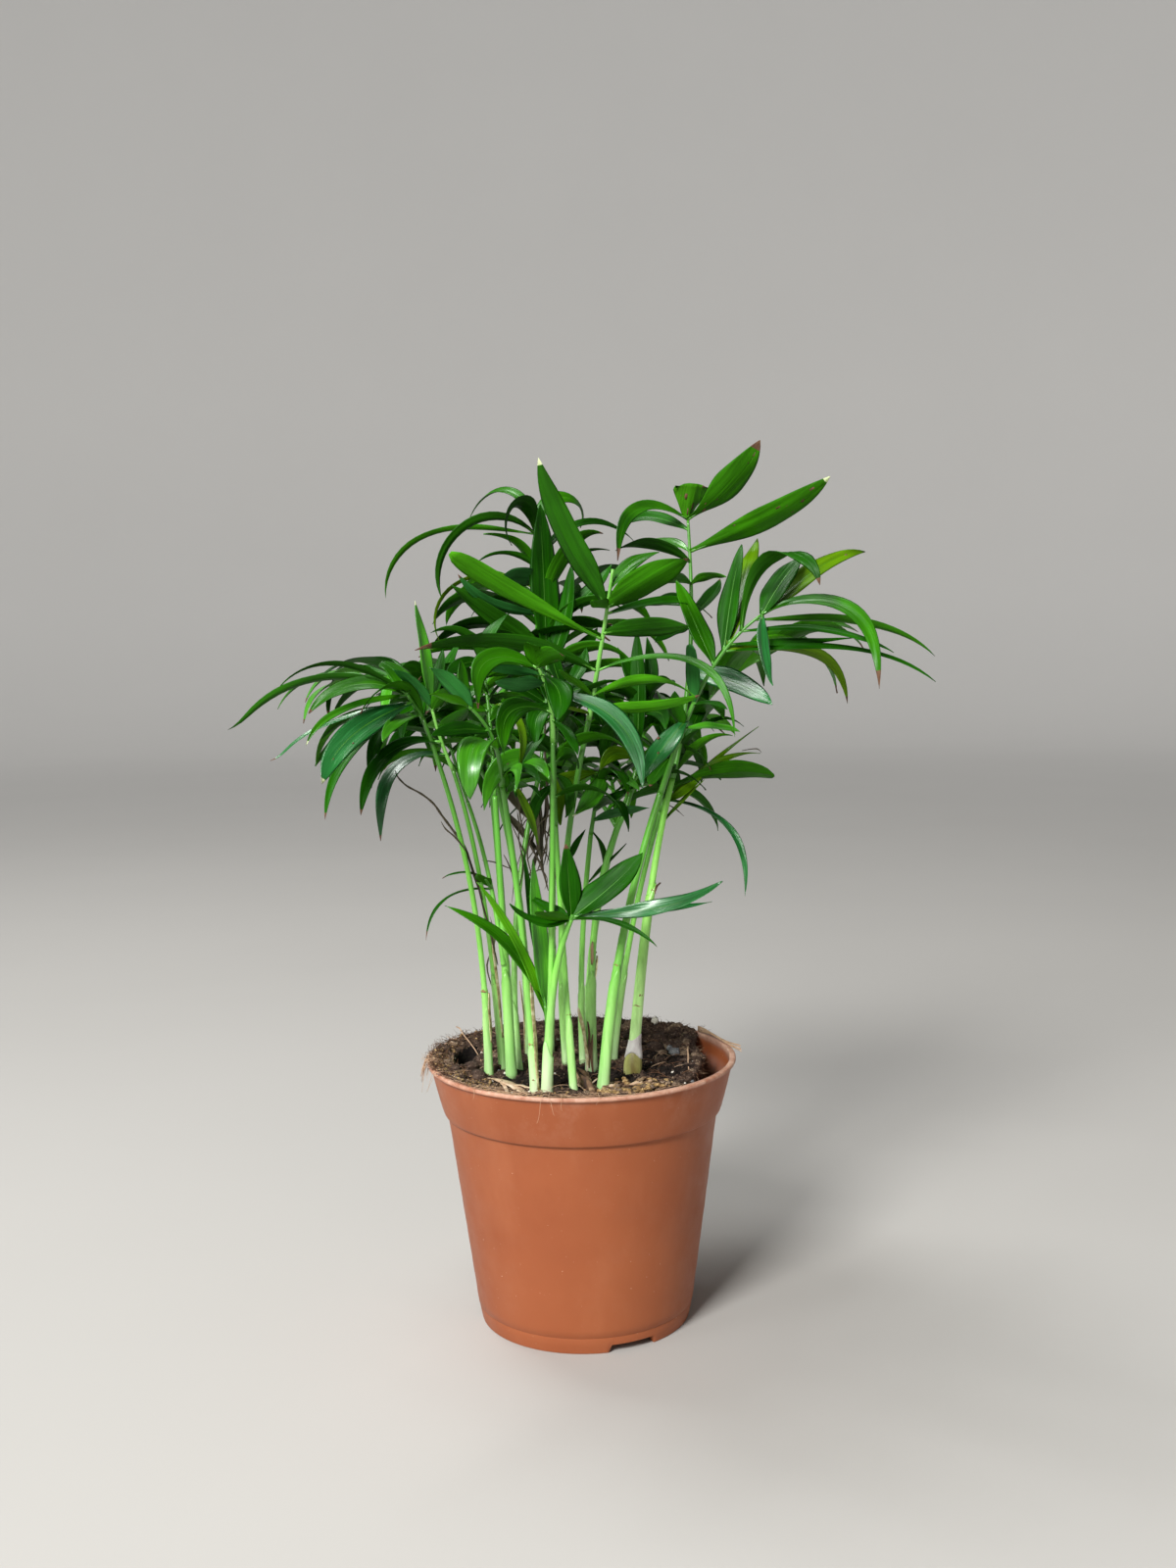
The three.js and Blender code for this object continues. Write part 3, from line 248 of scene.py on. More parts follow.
        (0.92, 31, 47, 24.6, 73, 1, 5, 6.7, 39, "d", ""),
        (0.04, 15, -52, 21.3, 29, 1, 83, 2.9, 3, "d", ""),
    ]),
    ("frond_middle_inner", "stem_front_right", 1, 102.6, 77, 50.4, 7.5, 2.4, -52.8, [
        (0.83, 152, 54, 20.2, -15, 2.4, -46, 6.4, -8, "d", ""),
        (0.96, 35, 40, 25.2, -11, 1, 47, 6.5, 8, "d", ""),
        (0.5, 193, 63, 15.5, 174, 2.4, 19, 5.9, 41, "d", ""),
        (0.46, 349, 49, 16.8, 160, 1.6, -68, 5.9, -49, "d", ""),
        (0.29, 184, -30, 20.3, 69, 1, 13, 5.5, -42, "d", ""),
        (0.38, 18, -34, 18.5, 86, 1, -17, 5.6, -43, "d", ""),
        (1, 118, 49, 28.9, 9, 1, -25, 6.9, 14, "d", ""),
        (0.96, 1, 31, 18.5, 99, 1.6, 1, 6, 50, "d", ""),
        (0.38, 211, 44, 47.7, 118, 1, 42, 8.2, -44, "b", ""),
        (0.88, 214, 9, 26.5, 82, 1, 70, 8.7, -14, "d", ""),
    ]),
    ("frond_low_left", "stem_left_third_branch", 0.458, 252.9, 38, 8.2, 0, 1, 0, [
        (0.21, 236, 32, 11.6, 2, 2.4, 19, 5.6, 18, "m", ""),
        (0, 206, 11, 44.6, 59, 1, 63, 2.8, -6, "d", "nh"),
        (0.62, 205, 45, 19.6, 72, 1, 4, 2.8, -29, "d", "nh"),
    ]),
    ("frond_low_spears", "stem_front", 0.333, 172.5, 83.2, 11.9, -1.9, 1.6, -0.1, [
        (1, 167, 71, 52.8, 54, 1, 3, 5.9, -34, "m", ""),
        (0.54, 182, 77, 56.4, 25, 1, 0, 4.7, -44, "l", ""),
        (0.92, 123, 82, 53.5, 5, 1, -19, 7.4, 14, "b", ""),
        (1, 130, 78, 55.3, 8, 1, -23, 4.3, 14, "d", ""),
    ]),
]
# Fronds of the far side: name, stem, place on the stem, azimuth, elevation,
# length, droop, bend power, sway, pairs, leaflet length, seed.
RULED = [
    ("frond_back_01", "stem_back_left", 1, 132, 25, 58, 43, 1.6, 11, 5, 60, 5130),
    ("frond_back_02", "stem_back_left", 0.875, 193, 64, 40, 35, 1.6, 9, 5, 57, 331),
    ("frond_back_03", "stem_back_left", 1, 88, 46, 46, 40, 1.6, -1, 5, 77, 4298),
    ("frond_back_04", "stem_back_middle", 1, 96, 61, 67, 32, 1.6, 4, 5, 62, 3576),
    ("frond_back_05", "stem_back_middle", 0.792, 100, 49, 59, 50, 1.6, 11, 4, 59, 9695),
    ("frond_back_06", "stem_back_middle", 0.875, 49, 33, 44, 48, 1.6, -1, 5, 68, 8051),
    ("frond_back_07", "stem_back_right", 0.792, 94, 48, 47, 61, 1.6, 0, 5, 58, 8717),
    ("frond_back_08", "stem_back_right", 0.792, 130, 47, 43, 48, 1.6, 5, 4, 48, 9613),
    ("frond_back_09", "stem_back_far_right", 1, 6, 67, 65, 47, 1.6, -7, 5, 68, 8605),
    ("frond_back_10", "stem_back_far_right", 1, 122, 46, 54, 28, 1.6, 11, 5, 52, 2809),
    ("frond_back_11", "stem_back_far_left", 1, 185, 39, 47, 50, 1.6, 15, 5, 54, 1032),
    ("frond_back_12", "stem_back_far_left", 1, 50, 55, 48, 38, 1.6, -13, 4, 50, 5463),
]

# ---------------------------------------------------------------- camera
cam_data = bpy.data.cameras.new("camera")
cam = bpy.data.objects.new("camera", cam_data)
bpy.context.scene.collection.objects.link(cam)
cam_data.sensor_fit = "AUTO"
cam_data.sensor_width = 36.0
cam_data.lens = 36.0
cam_data.clip_start, cam_data.clip_end = 0.02, 20.0
_p, _r = 0.088, 0.016
_up = Vector((0, math.sin(_p), math.cos(_p)))
_fw = Vector((0, math.cos(_p), -math.sin(_p)))
_x = Vector((1, 0, 0)) * math.cos(_r) - _up * math.sin(_r)
_y = Vector((1, 0, 0)) * math.sin(_r) + _up * math.cos(_r)
_m = Matrix.Identity(4)
for i in range(3):
    _m[i][0], _m[i][1], _m[i][2] = _x[i], _y[i], -_fw[i]
_m.translation = Vector((4.1, -602.0, 262.0)) * MM
cam.matrix_world = _m
bpy.context.scene.camera = cam


# ------------------------------------------------------------- materials
def srgb(r, g, b):
    f = lambda c: (c / 255 / 12.92) if c / 255 <= 0.04045 else ((c / 255 + 0.055) / 1.055) ** 2.4
    return (f(r), f(g), f(b), 1.0)


class Mat:
    """A Principled material and short helpers for the nodes in front of it."""

    def __init__(self, name, color, rough=0.5):
        self.m = bpy.data.materials.new(name)
        self.m.use_nodes = True
        self.nt = self.m.node_tree
        self.b = self.nt.nodes["Principled BSDF"]
        self.b.inputs["Base Color"].default_value = color
        self.b.inputs["Roughness"].default_value = rough
        self.coord = self.nt.nodes.new("ShaderNodeTexCoord").outputs["Object"]

    def set(self, **kw):
        for k, v in kw.items():
            self.b.inputs[k.replace("_", " ")].default_value = v
        return self

    def node(self, kind, **props):
        n = self.nt.nodes.new(kind)
        for k, v in props.items():
            setattr(n, k, v)
        return n

    def link(self, a, b):
        self.nt.links.new(a, b)

    def scaled(self, sx, sy, sz):
        n = self.node("ShaderNodeMapping")
        n.inputs["Scale"].default_value = (sx, sy, sz)
        self.link(self.coord, n.inputs["Vector"])
        return n.outputs["Vector"]

    def noise(self, scale, detail=3.0, rough=0.5, vector=None, distortion=0.0):
        n = self.node("ShaderNodeTexNoise")
        n.inputs["Scale"].default_value = scale
        n.inputs["Detail"].default_value = detail
        n.inputs["Roughness"].default_value = rough
        n.inputs["Distortion"].default_value = distortion
        self.link(vector if vector is not None else self.coord, n.inputs["Vector"])
        return n.outputs["Fac"]

    def ramp(self, fac, stops):
        n = self.node("ShaderNodeValToRGB")
        e = n.color_ramp.elements
        while len(e) < len(stops):
            e.new(0.5)
        for el, (p, c) in zip(e, stops):
            el.position = p
            el.color = c if len(c) == 4 else (*c, 1.0)
        self.link(fac, n.inputs["Fac"])
        return n.outputs["Color"]

    def grey(self, fac, stops):
        return self.ramp(fac, [(p, (v, v, v, 1.0)) for p, v in stops])

    def mix(self, fac, a, b, blend="MIX"):
        n = self.node("ShaderNodeMix", data_type="RGBA", blend_type=blend)
        for sock, v in ((n.inputs[0], fac), (n.inputs[6], a), (n.inputs[7], b)):
            if hasattr(v, "is_linked") or hasattr(v, "links"):
                self.link(v, sock)
            else:
                sock.default_value = v
        return n.outputs[2]

    def math(self, op, a, b=0.0):
        n = self.node("ShaderNodeMath", operation=op)
        for sock, v in ((n.inputs[0], a), (n.inputs[1], b)):
            if hasattr(v, "links"):
                self.link(v, sock)
            else:
                sock.default_value = v
        return n.outputs[0]

    def color(self, out):
        self.link(out, self.b.inputs["Base Color"])
        return self

    def rough(self, out):
        self.link(out, self.b.inputs["Roughness"])
        return self

    def bump(self, height, strength=0.3, distance=0.0004):
        n = self.node("ShaderNodeBump")
        n.inputs["Strength"].default_value = strength
        n.inputs["Distance"].default_value = distance
        self.link(height, n.inputs["Height"])
        prev = self.b.inputs["Normal"].links
        if prev:
            self.link(prev[0].from_socket, n.inputs["Normal"])
        self.link(n.outputs["Normal"], self.b.inputs["Normal"])
        return self


# ------------------------------------------------------------ mesh making
class Piece:
    """Collects vertices and faces, then becomes one object."""

    def __init__(self, name):
        self.name, self.v, self.f, self.mi, self.n = name, [], [], [], 0
        self.uv = []

    def add(self, verts, faces, mat=0, uv=None):
        self.v.append(np.asarray(verts, dtype=np.float64))
        if uv is not None:
            self.uv.append(uv)
        self.f.extend([tuple(i + self.n for i in f) for f in faces])
        self.mi.extend([mat] * len(faces) if isinstance(mat, int) else mat)
        self.n += len(verts)

    def build(self, mats, slot, replaces=(), smooth=True):
        me = bpy.data.meshes.new(self.name)
        v = np.vstack(self.v) * MM
        me.from_pydata(v.tolist(), [], self.f)
        for m in mats:
            me.materials.append(m.m)
        me.polygons.foreach_set("material_index", self.mi)
        me.polygons.foreach_set("use_smooth", [smooth] * len(self.f))
        if self.uv:
            # across and along the blade, in millimetres, for its fine veins
            lay = me.uv_layers.new(name="blade")
            idx = np.empty(len(me.loops), dtype=np.int64)
            me.loops.foreach_get("vertex_index", idx)
            lay.data.foreach_set("uv", np.vstack(self.uv)[idx].astype(np.float32).ravel())
        me.update()
        ob = bpy.data.objects.new(self.name, me)
        bpy.context.scene.collection.objects.link(ob)
        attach(ob, "root")
        if replaces:
            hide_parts(*replaces)
        return ob


def rad(d):
    return d * math.pi / 180.0


class Limb:
    """A limb from p that leaves at (az, el) and bends by droop * s**k and
    sway * s, the same rule as the frame's solids."""

    def __init__(self, p, az, el, length, droop, k, sway, n=24):
        self.az, self.el, self.len, self.droop, self.k, self.sway = az, el, length, droop, k, sway
        s = (np.arange(n) + 0.5) / n
        e, a = el - droop * s ** k, az + sway * s
        T = np.stack([np.cos(e) * np.cos(a), np.cos(e) * np.sin(a), np.sin(e)], 1)
        self.pts = np.vstack([p, p + np.cumsum(T, 0) * length / n])
        self.n = n

    def at(self, s):
        s = np.atleast_1d(np.asarray(s, float))
        x = s * self.n
        i = np.minimum(x.astype(int), self.n - 1)
        f = (x - i)[:, None]
        return self.pts[i] * (1 - f) + self.pts[i + 1] * f

    def dirs(self, s):
        s = np.maximum(np.atleast_1d(np.asarray(s, float)), 0)
        e, a = self.el - self.droop * s ** self.k, self.az + self.sway * s
        z = np.zeros_like(e)
        T = np.stack([np.cos(e) * np.cos(a), np.cos(e) * np.sin(a), np.sin(e)], 1)
        N = np.stack([-np.sin(e) * np.cos(a), -np.sin(e) * np.sin(a), np.cos(e)], 1)
        B = np.stack([-np.sin(a), np.cos(a), z], 1)
        return T, N, B


def grid_faces(rows, cols, wrap=True, start=0):
    out = []
    m = cols if wrap else cols - 1
    for j in range(rows - 1):
        for i in range(m):
            i2 = (i + 1) % cols
            a, b = start + j * cols, start + (j + 1) * cols
            out.append((a + i, a + i2, b + i2, b + i))
    return out


def tube(centres, T, N, B, radii, sides=10, squash=1.0, bumps=None):
    """Closed tube along centres, with end caps."""
    m = len(centres)
    ang = np.arange(sides) * 2 * math.pi / sides
    r = np.asarray(radii)[:, None] * (np.ones((m, sides)) if bumps is None else bumps)
    v = (centres[:, None, :] + (np.cos(ang)[None, :] * r)[:, :, None] * B[:, None, :]
         + (np.sin(ang)[None, :] * r * squash)[:, :, None] * N[:, None, :])
    verts = v.reshape(-1, 3)
    faces = grid_faces(m, sides)
    faces.append(tuple(range(sides - 1, -1, -1)))
    faces.append(tuple((m - 1) * sides + i for i in range(sides)))
    return verts, faces


def free_tube(pts, radii, sides=5):
    """Closed tube through any points."""
    pts = np.asarray(pts, float)
    t = np.gradient(pts, axis=0)
    t /= np.linalg.norm(t, axis=1)[:, None] + 1e-12
    ref = np.array([0.0, 0.0, 1.0]) if abs(t[0][2]) < 0.8 else np.array([1.0, 0.0, 0.0])
    B = np.cross(t, ref)
    B /= np.linalg.norm(B, axis=1)[:, None] + 1e-12
    N = np.cross(B, t)
    return tube(pts, t, N, B, radii, sides)


# --------------------------------------------------------------- leaflets
def leaf_outline(s, blunt=False, late=False, mild=False):
    """Half width along a leaflet: quick to widen, nearly parallel, then a
    drawn-out tip, or a round one."""
    s = np.asarray(s, float)
    up = 0.20 + 0.80 * np.sin(np.clip(s / 0.36, 0, 1) * math.pi / 2) ** 1.25
    if late:
        up = 0.20 + 0.80 * np.sin(np.clip(s / 0.70, 0, 1) * math.pi / 2) ** 2.2
    if mild:
        up = 0.18 + 0.82 * np.sin(np.clip(s / 0.55, 0, 1) * math.pi / 2) ** 1.7
    u = np.clip((s - 0.34) / 0.66, 0, 1)
    down = np.sqrt(np.clip(1 - u ** 5.0, 0, 1)) if blunt else np.clip(1 - u ** 2.3, 0, 1) ** 0.92
    return up * down


ACROSS = np.array([-1.0, -0.80, -0.56, -0.28, 0.0, 0.28, 0.56, 0.80, 1.0])
PLEAT = np.array([0.0, 0.13, -0.11, 0.12, -0.10, 0.12, -0.11, 0.13, 0.0])
TOP, UNDER, TIP, PALE = 0, 1, 2, 3


def leaflet(limb, w, roll, rng, stations, fold, twist, curl, code=""):
    """Thin closed blade: nine points across the top, seven under it. The
    code's letters: n dry brown tip, p pale tip, o round tip, c curled tip,
    e widest far out, h hair thin, s spotted, w blade turns to show its face
    towards the end, v turns the other way near the end, q widest at the middle,
    r cut short with a broad end."""
    blunt, torn = "o" in code, "r" in code
    if "h" in code:
        w = w * 0.55
    s = np.linspace(0, 1, stations) ** 0.94
    s[-1] = min(s[-1], 0.996)
    P = limb.at(s)
    T, N, B = limb.dirs(s)
    ro = roll + twist * (s - 0.42)
    if "w" in code:
        ro = roll + rad(58) * np.clip((0.55 - s) / 0.4, 0, 1)
    if "v" in code:
        ro = roll + rad(75) * np.clip((s - 0.55) / 0.3, 0, 1)
    if "c" in code:
        # the last of the blade hooks back on itself
        hook = np.clip((s - 0.86) / 0.14, 0, 1)
        P = P + N * (2.2 * hook ** 2)[:, None] - T * (1.6 * hook ** 2)[:, None]
    c, q = np.cos(ro)[:, None], np.sin(ro)[:, None]
    B2 = B * c + N * q
    N2 = N * c - B * q
    if torn:
        h = w / 2 * (0.12 + 0.88 * np.clip(s / 0.80, 0, 1) ** 0.85) * (1 - 0.06 * np.clip((s - 0.80) / 0.20, 0, 1) ** 2)
        fold = fold + 0.25
    else:
        h = w / 2 * leaf_outline(s, blunt, "e" in code, "q" in code)
    fo = fold * (1 - 0.45 * s)
    wave, wave2 = rng.uniform(0, 6.28), rng.uniform(0, 6.28)
    amp = min(0.45, 0.03 * w + 0.10)
    deep = np.minimum(1.0, h / 3.2)
    top = []
    for x, pl in zip(ACROSS, PLEAT):
        lift = fo * abs(x) * h + pl * deep * 1.3 - curl * (x * x) * h * (0.3 + s)
        ph = wave if x > 0 else wave2
        lift = lift + amp * x * x * np.sin(ph + s * (9 + 3 * (x > 0)))
        top.append(P + B2 * (x * h)[:, None] + N2 * lift[:, None])
    top = np.stack(top, 1)
    th = (0.30 * (1 - 0.55 * s))[:, None, None]
    under = top[:, 1:-1] - N2[:, None, :] * th * np.array([0.6, 0.8, 1.0, 1.7, 1.0, 0.8, 0.6])[None, :, None]
    n, m = len(s), len(ACROSS)
    if torn:
        jag = np.array([-1.5, -0.6, 0.25, 0.5, 0.65, 0.45, 0.2, -0.3, -1.3]) * w / 11
        top[-1] = top[-1] + T[-1][None, :] * jag[:, None]
        under[-1] = under[-1] + T[-1][None, :] * jag[1:-1, None]
    verts = np.vstack([top.reshape(-1, 3), under.reshape(-1, 3)])
    along = np.repeat((s * limb.len)[:, None], m, 1) + wave * 40
    across = ACROSS[None, :] * h[:, None] + wave2 * 25
    uv = np.vstack([np.stack([across, along], 2).reshape(-1, 2), np.stack([across[:, 1:-1], along[:, 1:-1]], 2).reshape(-1, 2)])
    off = n * m
    faces = grid_faces(n, m, wrap=False)
    dry = 1.01
    if "n" in code:
        dry = 0.925
    elif "p" in code:
        dry = 0.962
    elif torn:
        dry = 0.90
    elif not blunt and rng.random() < 0.30:
        dry = 0.972
    kind = PALE if "p" in code else TIP

    def mat_of(j, i, under_side):
        if (s[j] + s[min(j + 1, n - 1)]) / 2 > dry and (not torn or i >= 6):
            return kind
        return UNDER if under_side else TOP
    mats = [mat_of(f // (m - 1), f % (m - 1), False) for f in range(len(faces))]
    k = m - 2
    uid = lambda j, i: j * m + i if i in (0, m - 1) else off + j * k + (i - 1)
    for j in range(n - 1):
        for i in range(m - 1):
            faces.append((uid(j, i), uid(j + 1, i), uid(j + 1, i + 1), uid(j, i + 1)))
            mats.append(mat_of(j, i, True))
    for j in (0, n - 1):
        loop = [j * m + i for i in range(m)] + [uid(j, i) for i in range(m - 2, 0, -1)]
        faces.append(tuple(loop[::-1]) if j == 0 else tuple(loop))
        mats.append(mat_of(min(j, n - 2), 4, False))
    return verts, faces, mats, uv, (P, T, N2, B2, s, h, fo)


def spot(P, T, B, N, r, rng, n=9):
    """A small uneven disc lying on a blade."""
    v = [P + N * 0.12]
    for i in range(n):
        a = 2 * math.pi * i / n
        q = r * rng.uniform(0.7, 1.2)
        v.append(P + (T * math.cos(a) * 1.4 + B * math.sin(a)) * q + N * 0.04)
    for i in range(n):
        v.append(v[1 + i] - N * 0.25)
    v.append(P - N * 0.2)
    f = [(0, 1 + i, 1 + (i + 1) % n) for i in range(n)]
    f += [(1 + i, 1 + n + i, 1 + n + (i + 1) % n, 1 + (i + 1) % n) for i in range(n)]
    f += [(2 * n + 1, 1 + n + (i + 1) % n, 1 + n + i) for i in range(n)]
    return np.array(v), f


# -------------------------------------------------------------- materials
# leaflets: plain base colours dealt out by leaflet, with fine lengthwise veins and painted shade in the troughs of the
# pleats
def leaf_material(name, color, edge, vein, rough, gloss, coat):
    m = Mat(name, color, rough)
    uvn = m.node("ShaderNodeUVMap", uv_map="blade")
    stretch = m.node("ShaderNodeMapping")
    stretch.inputs["Scale"].default_value = (1.0, 0.035, 1.0)
    m.link(uvn.outputs["UV"], stretch.inputs["Vector"])
    veins = m.noise(1.9, 3.0, 0.55, vector=stretch.outputs["Vector"])
    broad = m.noise(34.0, 2.0, 0.5)
    base = m.mix(m.grey(broad, [(0.36, 0.0), (0.64, 1.0)]), tuple(c * 0.62 for c in color[:3]) + (1.0,), tuple(c * 1.14 for c in edge[:3]) + (1.0,))
    base = m.mix(m.grey(veins, [(0.50, 0.0), (0.68, 0.42)]), base, vein)
    pleats = m.noise(0.55, 2.0, 0.5, vector=stretch.outputs["Vector"])
    # painted shade: the colour darkens in the low troughs of the pleats
    base = m.mix(m.grey(pleats, [(0.40, 0.34), (0.56, 0.0)]), base, tuple(c * 0.5 for c in color[:3]) + (1.0,))
    fleck = m.noise(420.0, 3.0, 0.6)
    base = m.mix(m.grey(fleck, [(0.66, 0.0), (0.82, 0.20)]), base, srgb(84, 120, 30))
    m.color(base)
    fine = m.noise(700.0, 2.0, 0.6)
    m.rough(m.grey(fine, [(0.2, rough - 0.05), (0.8, rough + 0.09)]))
    m.bump(pleats, 0.50, 0.0010)
    m.bump(veins, 0.42, 0.00022)
    m.bump(m.noise(210.0, 2.0, 0.5), 0.10, 0.0005)
    m.b.inputs["Specular IOR Level"].default_value = gloss
    m.b.inputs["Specular Tint"].default_value = (0.85, 1.0, 0.88, 1) if coat > 0.15 else (0.65, 1.0, 0.62, 1)
    m.b.inputs["Coat Weight"].default_value = coat
    m.b.inputs["Coat Roughness"].default_value = 0.25
    return m


def leaf_set(name, top, edge, vein, under, rough, gloss, coat):
    t = leaf_material("leaf_" + name, srgb(*top), srgb(*edge), srgb(*vein), rough, gloss, coat)
    u = leaf_material("leaf_" + name + "_under", srgb(*under), srgb(*[min(255, int(c * 1.12)) for c in under]), srgb(*[min(255, int(c * 1.3)) for c in under]), 0.44, 0.12, 0.0)
    return [t, u]


LEAF_MATS = {
    "d": leaf_set("dark", (16, 64, 1), (25, 82, 2), (34, 94, 6), (30, 78, 6), 0.38, 0.14, 0.0),
    "m": leaf_set("mid", (29, 88, 1), (45, 110, 2), (56, 124, 8), (44, 102, 6), 0.34, 0.18, 0.08),
    "b": leaf_set("bright", (48, 122, 8), (68, 150, 16), (92, 172, 38), (62, 130, 14), 0.33, 0.45, 0.36),
    "y": leaf_set("yellow_green", (66, 106, 3), (86, 130, 6), (102, 144, 14), (82, 118, 10), 0.34, 0.20, 0.04),
    "t": leaf_set("blue_green", (18, 80, 28), (30, 102, 42), (56, 134, 72), (44, 106, 46), 0.30, 0.50, 0.45),
    "l": leaf_set("lime", (66, 142, 8), (88, 164, 14), (108, 178, 28), (78, 146, 12), 0.34, 0.32, 0.05),
}
M_RIB = Mat("leaf_rib", srgb(50, 112, 16), 0.36)
M_RIB.color(M_RIB.mix(M_RIB.noise(90.0, 2.0), srgb(38, 98, 8), srgb(78, 138, 34)))
M_RIB.bump(M_RIB.noise(1600.0, 2.0), 0.15, 0.0002)
M_TIP = Mat("leaf_tip_dry", srgb(74, 44, 26), 0.75)
M_TIP.color(M_TIP.mix(M_TIP.noise(500.0, 3.0), srgb(48, 28, 18), srgb(116, 80, 50)))
M_TIP.bump(M_TIP.noise(1500.0, 3.0), 0.4, 0.0003)
M_PALE = Mat("leaf_tip_pale", srgb(176, 190, 132), 0.6)
M_PALE.color(M_PALE.mix(M_PALE.noise(600.0, 2.0), srgb(150, 178, 100), srgb(214, 212, 184)))


def rachis_material(name, low, high):
    m = Mat(name, low, 0.36)
    m.color(m.mix(m.noise(90.0, 2.0), low, high))
    m.bump(m.noise(900.0, 2.0, vector=m.scaled(1, 1, 0.12)), 0.25, 0.0002)
    m.b.inputs["Coat Weight"].default_value = 0.1
    return m


M_RACHIS = rachis_material("rachis_light_green", srgb(92, 166, 52), srgb(140, 204, 100))
M_RACHIS2 = rachis_material("rachis_green", srgb(52, 118, 26), srgb(84, 152, 46))
M_DEADB = Mat("dead_blade", srgb(54, 50, 30), 0.7)
M_DEADB.color(M_DEADB.mix(M_DEADB.noise(160.0, 3.0), srgb(34, 32, 20), srgb(72, 66, 38)))
M_DEADB.bump(M_DEADB.noise(900.0, 3.0, vector=M_DEADB.scaled(1, 1, 0.2)), 0.5, 0.0003)
M_DEAD = Mat("dead_strand", srgb(50, 46, 32), 0.8)
M_DEAD.color(M_DEAD.mix(M_DEAD.noise(400.0, 3.0), srgb(38, 34, 23), srgb(74, 64, 42)))
M_DEAD.bump(M_DEAD.noise(1500.0, 3.0), 0.4, 0.0003)
M_SHEATH_PALE = Mat("sheath_pale_green", srgb(206, 228, 184), 0.42)
_z = M_SHEATH_PALE.node("ShaderNodeSeparateXYZ")
M_SHEATH_PALE.link(M_SHEATH_PALE.coord, _z.inputs[0])
_h = M_SHEATH_PALE.math("ADD", _z.outputs[2], M_SHEATH_PALE.math("MULTIPLY", M_SHEATH_PALE.math("SUBTRACT", M_SHEATH_PALE.noise(150.0, 3.0, 0.6, vector=M_SHEATH_PALE.scaled(1, 1, 0.25)), 0.5), 0.030))
M_SHEATH_PALE.color(M_SHEATH_PALE.ramp(M_SHEATH_PALE.math("DIVIDE", M_SHEATH_PALE.math("SUBTRACT", _h, 0.098), 0.032), [(0.0, srgb(214, 222, 190)), (0.30, srgb(190, 232, 164)), (0.62, srgb(170, 232, 138)), (1.0, srgb(150, 222, 112))]))
M_SHEATH_PALE.bump(M_SHEATH_PALE.noise(900.0, 3.0, vector=M_SHEATH_PALE.scaled(1, 1, 0.08)), 0.3, 0.0003)
M_BULB = Mat("bulb_olive", srgb(160, 154, 92), 0.45)
M_BULB.color(M_BULB.ramp(M_BULB.noise(170.0, 4.0, 0.6, vector=M_BULB.scaled(1, 1, 0.4)), [(0.32, srgb(138, 124, 68)), (0.52, srgb(180, 182, 106)), (0.72, srgb(208, 206, 148))]))
M_BULB.bump(M_BULB.noise(900.0, 3.0, vector=M_BULB.scaled(1, 1, 0.1)), 0.4, 0.0003)
M_VEIL = Mat("bulb_papery_white", srgb(214, 208, 204), 0.55)
M_VEIL.color(M_VEIL.ramp(M_VEIL.noise(230.0, 4.0, 0.65, vector=M_VEIL.scaled(1, 1, 0.5)), [(0.30, srgb(128, 112, 112)), (0.46, srgb(206, 200, 198)), (0.75, srgb(232, 232, 226))]))
M_VEIL.bump(M_VEIL.noise(700.0, 4.0, vector=M_VEIL.scaled(1, 1, 0.15)), 0.5, 0.0004)
M_SHEATH = Mat("sheath_dry", srgb(196, 186, 150), 0.7)
M_SHEATH.color(M_SHEATH.ramp(M_SHEATH.noise(300.0, 4.0, 0.6), [(0.3, srgb(112, 84, 54)), (0.5, srgb(186, 172, 128)), (0.7, srgb(222, 216, 190))]))
M_SHEATH.bump(M_SHEATH.noise(900.0, 3.0, vector=M_SHEATH.scaled(1, 1, 0.08)), 0.5, 0.0004)


def stem_material(name, stops):
    """Smooth cane: whitish at the soil, light green above, with fine
    lengthwise lines and a little scurf."""
    m = Mat(name, srgb(130, 170, 84), 0.40)
    z = m.node("ShaderNodeSeparateXYZ")
    m.link(m.coord, z.inputs[0])
    wob = m.math("MULTIPLY", m.math("SUBTRACT", m.noise(40.0, 2.0), 0.5), 0.028)
    h = m.math("ADD", z.outputs[2], wob)
    t = m.math("DIVIDE", m.math("SUBTRACT", h, 0.098), 0.13)
    body = m.ramp(t, [(a, srgb(*c)) for a, c in stops])
    patch = m.noise(60.0, 3.0, 0.55, vector=m.scaled(1, 1, 0.22))
    body = m.mix(m.grey(patch, [(0.44, 0.0), (0.66, 0.62)]), body, srgb(92, 172, 56))
    lines = m.noise(700.0, 3.0, 0.6, vector=m.scaled(1, 1, 0.05))
    body = m.mix(m.grey(lines, [(0.42, 0.0), (0.72, 0.42)]), body, srgb(84, 142, 46))
    scurf = m.noise(500.0, 4.0, 0.7)
    body = m.mix(m.grey(scurf, [(0.70, 0.0), (0.80, 0.45)]), body, srgb(150, 124, 80))
    m.color(body)
    m.bump(lines, 0.25, 0.00025)
    m.bump(m.noise(120.0, 2.0), 0.2, 0.0006)
    m.b.inputs["Coat Weight"].default_value = 0.26
    m.b.inputs["Coat Roughness"].default_value = 0.22
    m.b.inputs["Subsurface Weight"].default_value = 0.12
    m.b.inputs["Subsurface Radius"].default_value = (0.6, 1.0, 0.3)
    m.b.inputs["Subsurface Scale"].default_value = 0.0015
    return m


M_STEM = stem_material("stem_green", [(0.0, (212, 242, 188)), (0.12, (180, 238, 142)), (0.38, (138, 214, 90)), (0.68, (88, 162, 44)), (0.95, (56, 118, 24))])
M_STEM2 = stem_material("stem_pale_green", [(0.0, (220, 242, 190)), (0.12, (204, 250, 164)), (0.38, (174, 240, 126)), (0.68, (144, 222, 86)), (0.95, (98, 176, 52))])


